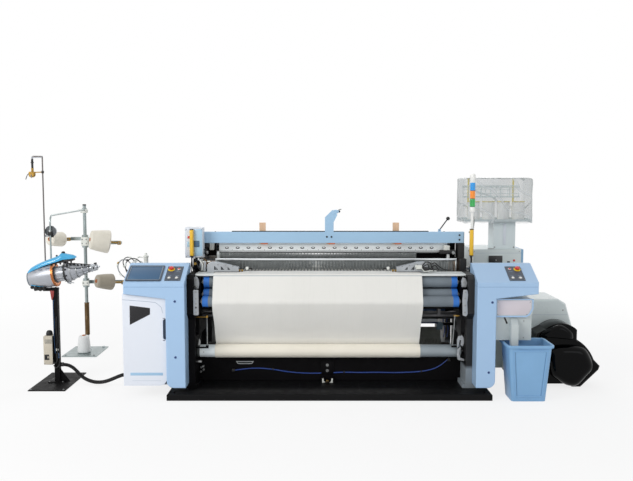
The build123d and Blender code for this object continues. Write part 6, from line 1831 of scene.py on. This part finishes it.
# Feeder stand: beige box, knob, trims, foot and cables
def stand_details():
    front = -391
    parts = [
        (block((-2359, -2283), (front - 2, -300), (158, 398), 5, 3), "box_beige"),
        (lathe((-2322, -345, 397), UP, ((0, 26), (14, 27), (30, 24), (40, 15), (43, 0.1)), 36), "rubber_black"),
        (block((-2352, -2312), (front - 3.4, front), (198, 244), 2), "black_plastic"),
        (block((-2346, -2330), (front - 6, front - 2), (206, 236), 2), "rubber_black"),
        (block((-2326, -2317), (front - 5, front - 2), (212, 230), 1), "box_beige"),
        (prism([(-2300, 774), (-2266, 774), (-2268, 734), (-2281, 694), (-2289, 700)], "y", -369.4, -365, 1),
         "strip_red"),
        (tube([(-2268, -369, 698), (-2276, -369, 640), (-2272, -369, 520), (-2277, -369, 400), (-2270, -369, 250)],
              2.6, 8), "inner_blue"),
        (tube([(-2252, -369, 560), (-2256, -370, 470), (-2250, -370, 380), (-2252, -374, 300), (-2244, -372, 220)],
              4.2, 10), "rubber_black"),
        (tube([(-2290, -382, 190), (-2266, -384, 168), (-2250, -384, 196), (-2256, -378, 250)], 5, 10), "rubber_black"),
        (tube([(-2282, -372, 150), (-2262, -380, 128), (-2238, -376, 152), (-2234, -370, 196)], 6, 10), "rubber_black"),
        (block((-2256, -2238), (-374, -365), (208, 252), 2), "inner_blue"),
        (block((-2262, -2244), (-372, -365), (268, 290), 2), "fitting_white"),
        (block((-2325, -2195), (-405, -285), (8, 15), 1.5), "stand_black"),
        (block((-2283, -2237), (-368, -322), (776, 796), 2), "stand_black"),
    ]
    for x in (-2315, -2205):
        for y in (-395, -295):
            parts += bolt((x, y, 15), axis=UP, size=5)
    for x in (-2390, -2130):
        for y in (-605, -85):
            parts += bolt((x, y, 8), axis=UP, size=6)
    for z in (172, 384):
        for x in (-2351, -2291):
            parts.append(screw((x, front - 2, z), FRONT, 3.4, 1.2, 1.8, 2, 12))
    for k in range(7):
        parts.append((block((-2345 + k * 9, -2341 + k * 9), (front - 2.8, front - 1.8), (336, 372), 0.4), "core_ring"))
    for x, y in ((-2345, -325), (-2305, -325), (-2265, -325)):
        parts.append((lathe((x, y, 796), UP, ((0, 6), (4, 6), (5, 4)), 6), "fastener_steel"))
    piece("stand_details", parts)
    post_x, y, hook_x = -2338, -345, -2421
    guide = [
        (rod((post_x, y, 992), (post_x, y, 1874), 5.6, 20), "post_chrome"),
        (tube([(post_x, y, 1866), (post_x - 4, y, 1874), (post_x - 20, y, 1876), (hook_x + 20, y, 1876),
               (hook_x + 4, y, 1874), (hook_x, y, 1862)], 5.2, 14), "post_chrome"),
        (rod((hook_x, y, 1778), (hook_x, y, 1856), 8.8, 20, 1.5), "rubber_black"),
        (tube_ring((hook_x, y, 1822), UP, 8, 12, 10), "black_plastic"),
        (rod((hook_x, y, 1742), (hook_x, y, 1782), 11, 6, 1.5), "brass"),
        (block((-2452, -2398), (y - 8, y + 8), (1728, 1752), 4), "brass"),
        (lathe((-2424, y - 22, 1728), (0, 1, 0), ((0, 20), (4, 24), (8, 24), (10, 14), (30, 14), (32, 22), (38, 22)),
               36), "brass"),
        (rod((-2400, y, 1746), (post_x, y, 1749), 4.6, 16), "brass"),
        (block((post_x - 9, post_x + 9), (y - 9, y + 9), (1738, 1760), 3), "black_plastic"),
        (tube([(-2448, y, 1740), (-2464, y, 1724), (-2474, y, 1700), (-2478, y, 1688)], 3, 10), "rubber_black"),
        (rod((-2424, y - 24, 1728), (-2422, y - 30, 1700), 3, 10), "fastener_steel"),
        (lathe((-2293, -327, 1262), FRONT, ((0, 46), (3, 46.6), (5, 44), (6, 20), (14, 18), (18, 10), (18.4, 0.1)),
               56), "disc_smoke"),
        (block((-2310, -2276), (-352, -330), (1226, 1262), 4), "rubber_black"),
        (block((-2304, -2266), (-338, -330), (1212, 1230), 3), "rubber_black"),
        (lathe((-2293, -346, 1262), FRONT, ((0, 9), (4, 9), (6, 6), (6.4, 0.1)), 24), "fastener_steel"),
    ]
    piece("guide_head", guide)


stand_details()


# Creel: cast clamps, brass knuckles, bronze sleeve, and wound cones on tubes
creel_x, creel_y, knuckle_y = -2362, 810, 817
# Cones on pegs: height and x of the knuckle, direction, reach of the peg, nose and base radius and length,
# by how much the yarn swells these, and its material
held_cones = (
    (1066, -2032, (-0.896, -0.417, 0.153), 96, 82, 102, 165, 1.1, "cone_cotton"),
    (1104, -2524, (-0.5, -0.863, 0.07), 78, 58, 68, 150, 1.04, "cone_cotton"),
    (676, -2000, (-0.777, -0.615, 0.138), 112, 60, 76, 158, 1.04, "cone_taupe"),
)


def creel_details():
    parts = [
        (lathe((creel_x, creel_y, 160), UP, ((0, 22.6), (3, 24), (7, 22.7), (150, 22.7), (152, 23.6), (158, 23.6),
                                             (160, 22.7), (312, 22.7), (316, 24), (320, 22.7)), 40), "bronze"),
        (lathe((creel_x, creel_y, 1434), UP, ((0, 17), (4, 18), (10, 17), (12, 12), (12.4, 0.1)), 32), "black_plastic"),
        (block((creel_x - 34, creel_x + 30), (creel_y - 26, creel_y + 22), (1362, 1398), 6, 3), "fitting_white"),
        (rod((creel_x - 60, creel_y, 1386), (creel_x - 28, creel_y, 1388), 10, 20, 2), "fitting_white"),
    ]
    for z in (1066, 1104, 676):
        parts.append((block((creel_x - 33, creel_x + 33), (creel_y - 34, creel_y - 12), (z - 26, z + 22), 6, 3),
                      "fitting_white"))
        for x in (creel_x - 20, creel_x + 20):
            parts += bolt((x, creel_y - 34, z), size=5)
    for z, x, direction, reach, *_ in held_cones:
        direction = Vector(direction).normalized()
        parts.append((block((x - 16, x + 16), (knuckle_y - 16, knuckle_y + 16), (z - 17, z + 17), 4), "brass"))
        parts += bolt((x, knuckle_y - 16, z), size=6)
        start = Vector((x, knuckle_y, z))
        parts.append((rod(start + direction * 14, start + direction * (reach - 6), 6.8, 18), "brass"))
        parts.append((rod(start + direction * (reach - 12), start + direction * (reach - 2), 15, 28, 2),
                      "fitting_white"))
    for x, y in ((-2500, 560), (-2230, 560), (-2500, 915), (-2230, 915)):
        parts += bolt((x, y, 10), axis=UP, size=7)
    foot = ((0, 36), (5, 36), (7, 30), (34, 24), (36, 22))
    parts.append((lathe((creel_x, creel_y, 10), UP, foot, 40), "creel_plate"))
    parts.append((block((-2246, -2226), (900, 930), (10, 20), 2), "creel_plate"))
    piece("creel_details", parts)


def wound_cone(base, direction, nose_radius, base_radius, length, kind, seed):
    """A cone of yarn: slack crossings swell its face, and a tube shows at its nose."""
    profile = [(2, 18), (0.6, base_radius * 0.5), (0, base_radius - 14), (1.6, base_radius - 8),
               (6, base_radius - 2.6), (12, base_radius)]
    for i in range(1, 26):
        t = i / 26
        z = 12 + (length - 26) * t
        r = base_radius + (nose_radius - base_radius) * t + 2.2 * math.sin(math.pi * t)
        profile.append((z, r + 0.45 * math.sin(i * 2.3 + seed)))
    profile += [(length - 13, nose_radius), (length - 6, nose_radius - 2.8), (length - 2, nose_radius - 8),
                (length, nose_radius - 15), (length, 22), (length - 3, 17)]
    base, ahead = Vector(base), Vector(direction).normalized()
    return [
        (lathe(base, direction, profile, 72), kind),
        (tube_ring(base + ahead * (length - 40), direction, 11, 16.5, 46, 32), "cone_tube"),
        (rod(base + ahead * (length - 30), base + ahead * (length - 3), 8, 20), "shaft_iron"),
    ]


def cones():
    parts = []
    for number, (z, x, direction, reach, *sizes, swell, kind) in enumerate(held_cones):
        direction = Vector(direction).normalized()
        start = Vector((x, knuckle_y, z)) + direction * reach
        parts += wound_cone(start, direction, *(size * swell for size in sizes), kind, number)
    parts += wound_cone((creel_x, 690, 10), UP, 50, 62, 165, "cone_white", 4)
    piece("wound_cones", parts, replaces=["yarn_cones"])


creel_details()
cones()


# Blocks beside the heald frames, black sheets of painted shade behind the rollers and the inner cover's trim
def tower_blocks():
    parts = [
        (block((-997, -961), (-236, -180), (1098, 1164), 3), "fitting_white"),
        (block((-1054, -1000), (-250, -190), (1120, 1160), 3), "black_plastic"),
        (block((-1052, -1014), (-262, -200), (1060, 1112), 3), "black_plastic"),
        (block((-1010, -998), (-246, -188), (1090, 1164), 2), "frame_black"),
        # The thin black plates at y -170 are painted shade behind the heald frames' ends.
        (block((-1054, -930), (-170, -164), (1044, 1166), 1), "frame_black"),
        (rod((-1036, -264, 1086), (-1036, -290, 1086), 12, 20, 2), "fastener_steel"),
        (block((-1020, -1000), (-300, -262), (1070, 1096), 3), "fastener_steel"),
        (block((736, 1074), (-172, -166), (1000, 1160), 1), "frame_black"),
        (block((930, 1060), (-262, -190), (1066, 1100), 3), "black_plastic"),
        (block((960, 1010), (-280, -262), (1100, 1140), 3), "fitting_white"),
        (rod((1040, -290, 1080), (1040, -250, 1080), 14, 20, 2), "fastener_steel"),
    ]
    piece("tower_blocks", parts)
    # Black sheets beside the cloth, behind the rollers: painted shade where the machine's inside is dark.
    shade_sheets = [
        (block((735, 1070), (-470, -464), (640, 880), 1), "frame_black"),
        (block((-1050, -912), (-470, -464), (640, 880), 1), "frame_black"),
    ]
    piece("roller_shade_sheets", shade_sheets)
    front = -804
    outer = [(1272, 776), (1566, 776), (1566, 700), (1540, 650), (1512, 634), (1272, 634)]
    inner = [(1284, 768), (1556, 768), (1556, 702), (1532, 660), (1508, 646), (1284, 646)]
    trim = []
    for k in range(6):
        a, b = outer[k], outer[(k + 1) % 6]
        c, d = inner[(k + 1) % 6], inner[k]
        trim.append((prism([a, b, c, d], "y", front - 3, front + 1, 0.8), "cover_blue"))
    trim.append((prism([(1290, 764), (1550, 764), (1550, 704), (1528, 664), (1504, 651), (1290, 651)], "y",
                       front - 1.8, front + 0.5, 0.8), "inner_cover"))
    piece("inner_cover_trim", trim)


tower_blocks()


# Motor hood: two blown forms on the flat hood, a blade above and a hull below
def blown(outline, face, depth, inset, steps=9):
    middle = (sum(p[0] for p in outline) / len(outline), sum(p[1] for p in outline) / len(outline))
    line = smooth_path([(x, face, z) for x, z in outline + outline[:1]], 5)[:-1]
    half = min(max(p[0] for p in outline) - middle[0], max(p[1] for p in outline) - middle[1])
    rings = [[(p[0], face + 4, p[2]) for p in line]]
    for i in range(steps):
        t = math.pi / 2 * i / (steps - 1)
        keep = 1 - inset * (1 - math.cos(t)) / half
        rings.append([(middle[0] + (p[0] - middle[0]) * keep, face - depth * math.sin(t),
                       middle[1] + (p[2] - middle[1]) * keep) for p in line])
    return rings_mesh(rings)


def motor_hood():
    blade = [(1706, 412), (1716, 440), (1760, 476), (1852, 518), (1912, 506), (1972, 458), (1978, 400), (1930, 398),
             (1820, 408)]
    hull = [(1772, 316), (1776, 230), (1800, 116), (1850, 70), (1936, 20), (2016, 18), (2090, 92), (2146, 172),
            (2110, 280), (2058, 334), (1968, 352), (1850, 348)]
    parts = [(blown(blade, -500, 52, 34), "hood_black"), (blown(hull, -500, 74, 60), "hood_black")]
    for k in range(7):
        x = 1716 + k * 9
        parts.append((block((x, x + 4), (-502, -498), (70, 150), 1), "rubber_black"))
    for x, z in ((1712, 40), (1712, 330), (1716, 240)):
        parts.append(screw((x, -500, z), FRONT, 7, 1.5, 2.4, 5, 18))
    piece("motor_hood", parts)


motor_hood()


# Warp side: bolts, spokes and rims of the beam's flanges, drop-wire holders and bearing caps
def rear_details():
    parts = []
    y, z = beam_centre
    bolt_ring, spoke_from, spoke_to = 92, 120, 340
    for x, side in ((-925, -1), (743, 1)):
        parts.append((lathe((x, y, z), (side, 0, 0), ((0, 104), (5, 104), (7, 100), (7, 84)), 56), "bolt_dark"))
        for a, b in circle(8):
            place = (x, y + bolt_ring * a, z + bolt_ring * b)
            parts.append((lathe(place, (side, 0, 0), ((6, 9), (13, 9), (14.5, 7)), 6), "fastener_steel"))
            inner, outer = ((x, y + reach * a, z + reach * b) for reach in (spoke_from, spoke_to))
            parts.append((rod(inner, outer, 7, 12, 1), "beam_iron"))
        for r in (352, 366):
            parts.append((tube_ring((x, y, z), (side, 0, 0), r - 4, r, 2.5, 96), "beam_iron"))
    piece("beam_flange_details", parts, body="beam")
    holders = []
    for k in range(4):
        row = 110 + 42 * k
        for x in (-880, 698):
            holders.append((block((x - 7, x + 7), (row - 9, row + 9), (984, 1018), 2), "fitting_white"))
    for x in (-915, 733):
        holders.append((block((x - 6, x + 6), (92, 254), (980, 988), 1.5), "frame_black"))
    piece("drop_wire_holders", holders)
    plates = []
    for x, side in ((-1105, -1), (1125, 1)):
        for py, pz in ((300, 700), (300, 250), (780, 250), (-560, 250)):
            plates += bolt((x, py, pz), axis=(side, 0, 0), size=9)
        for py, pz, radius, rise, top, tip, count in ((*beam_centre, 70, 6, 9, 62, 48), (690, 871, 40, 6, 8, 34, 40),
                                                      (-300, 560, 56, 8, 11, 46, 44)):
            cap = lathe((x, py, pz), (side, 0, 0), ((0, radius), (rise, radius), (top, tip), (top, 0.1)), count)
            plates.append((cap, "bracket_grey"))
    piece("bearing_caps", plates)


rear_details()
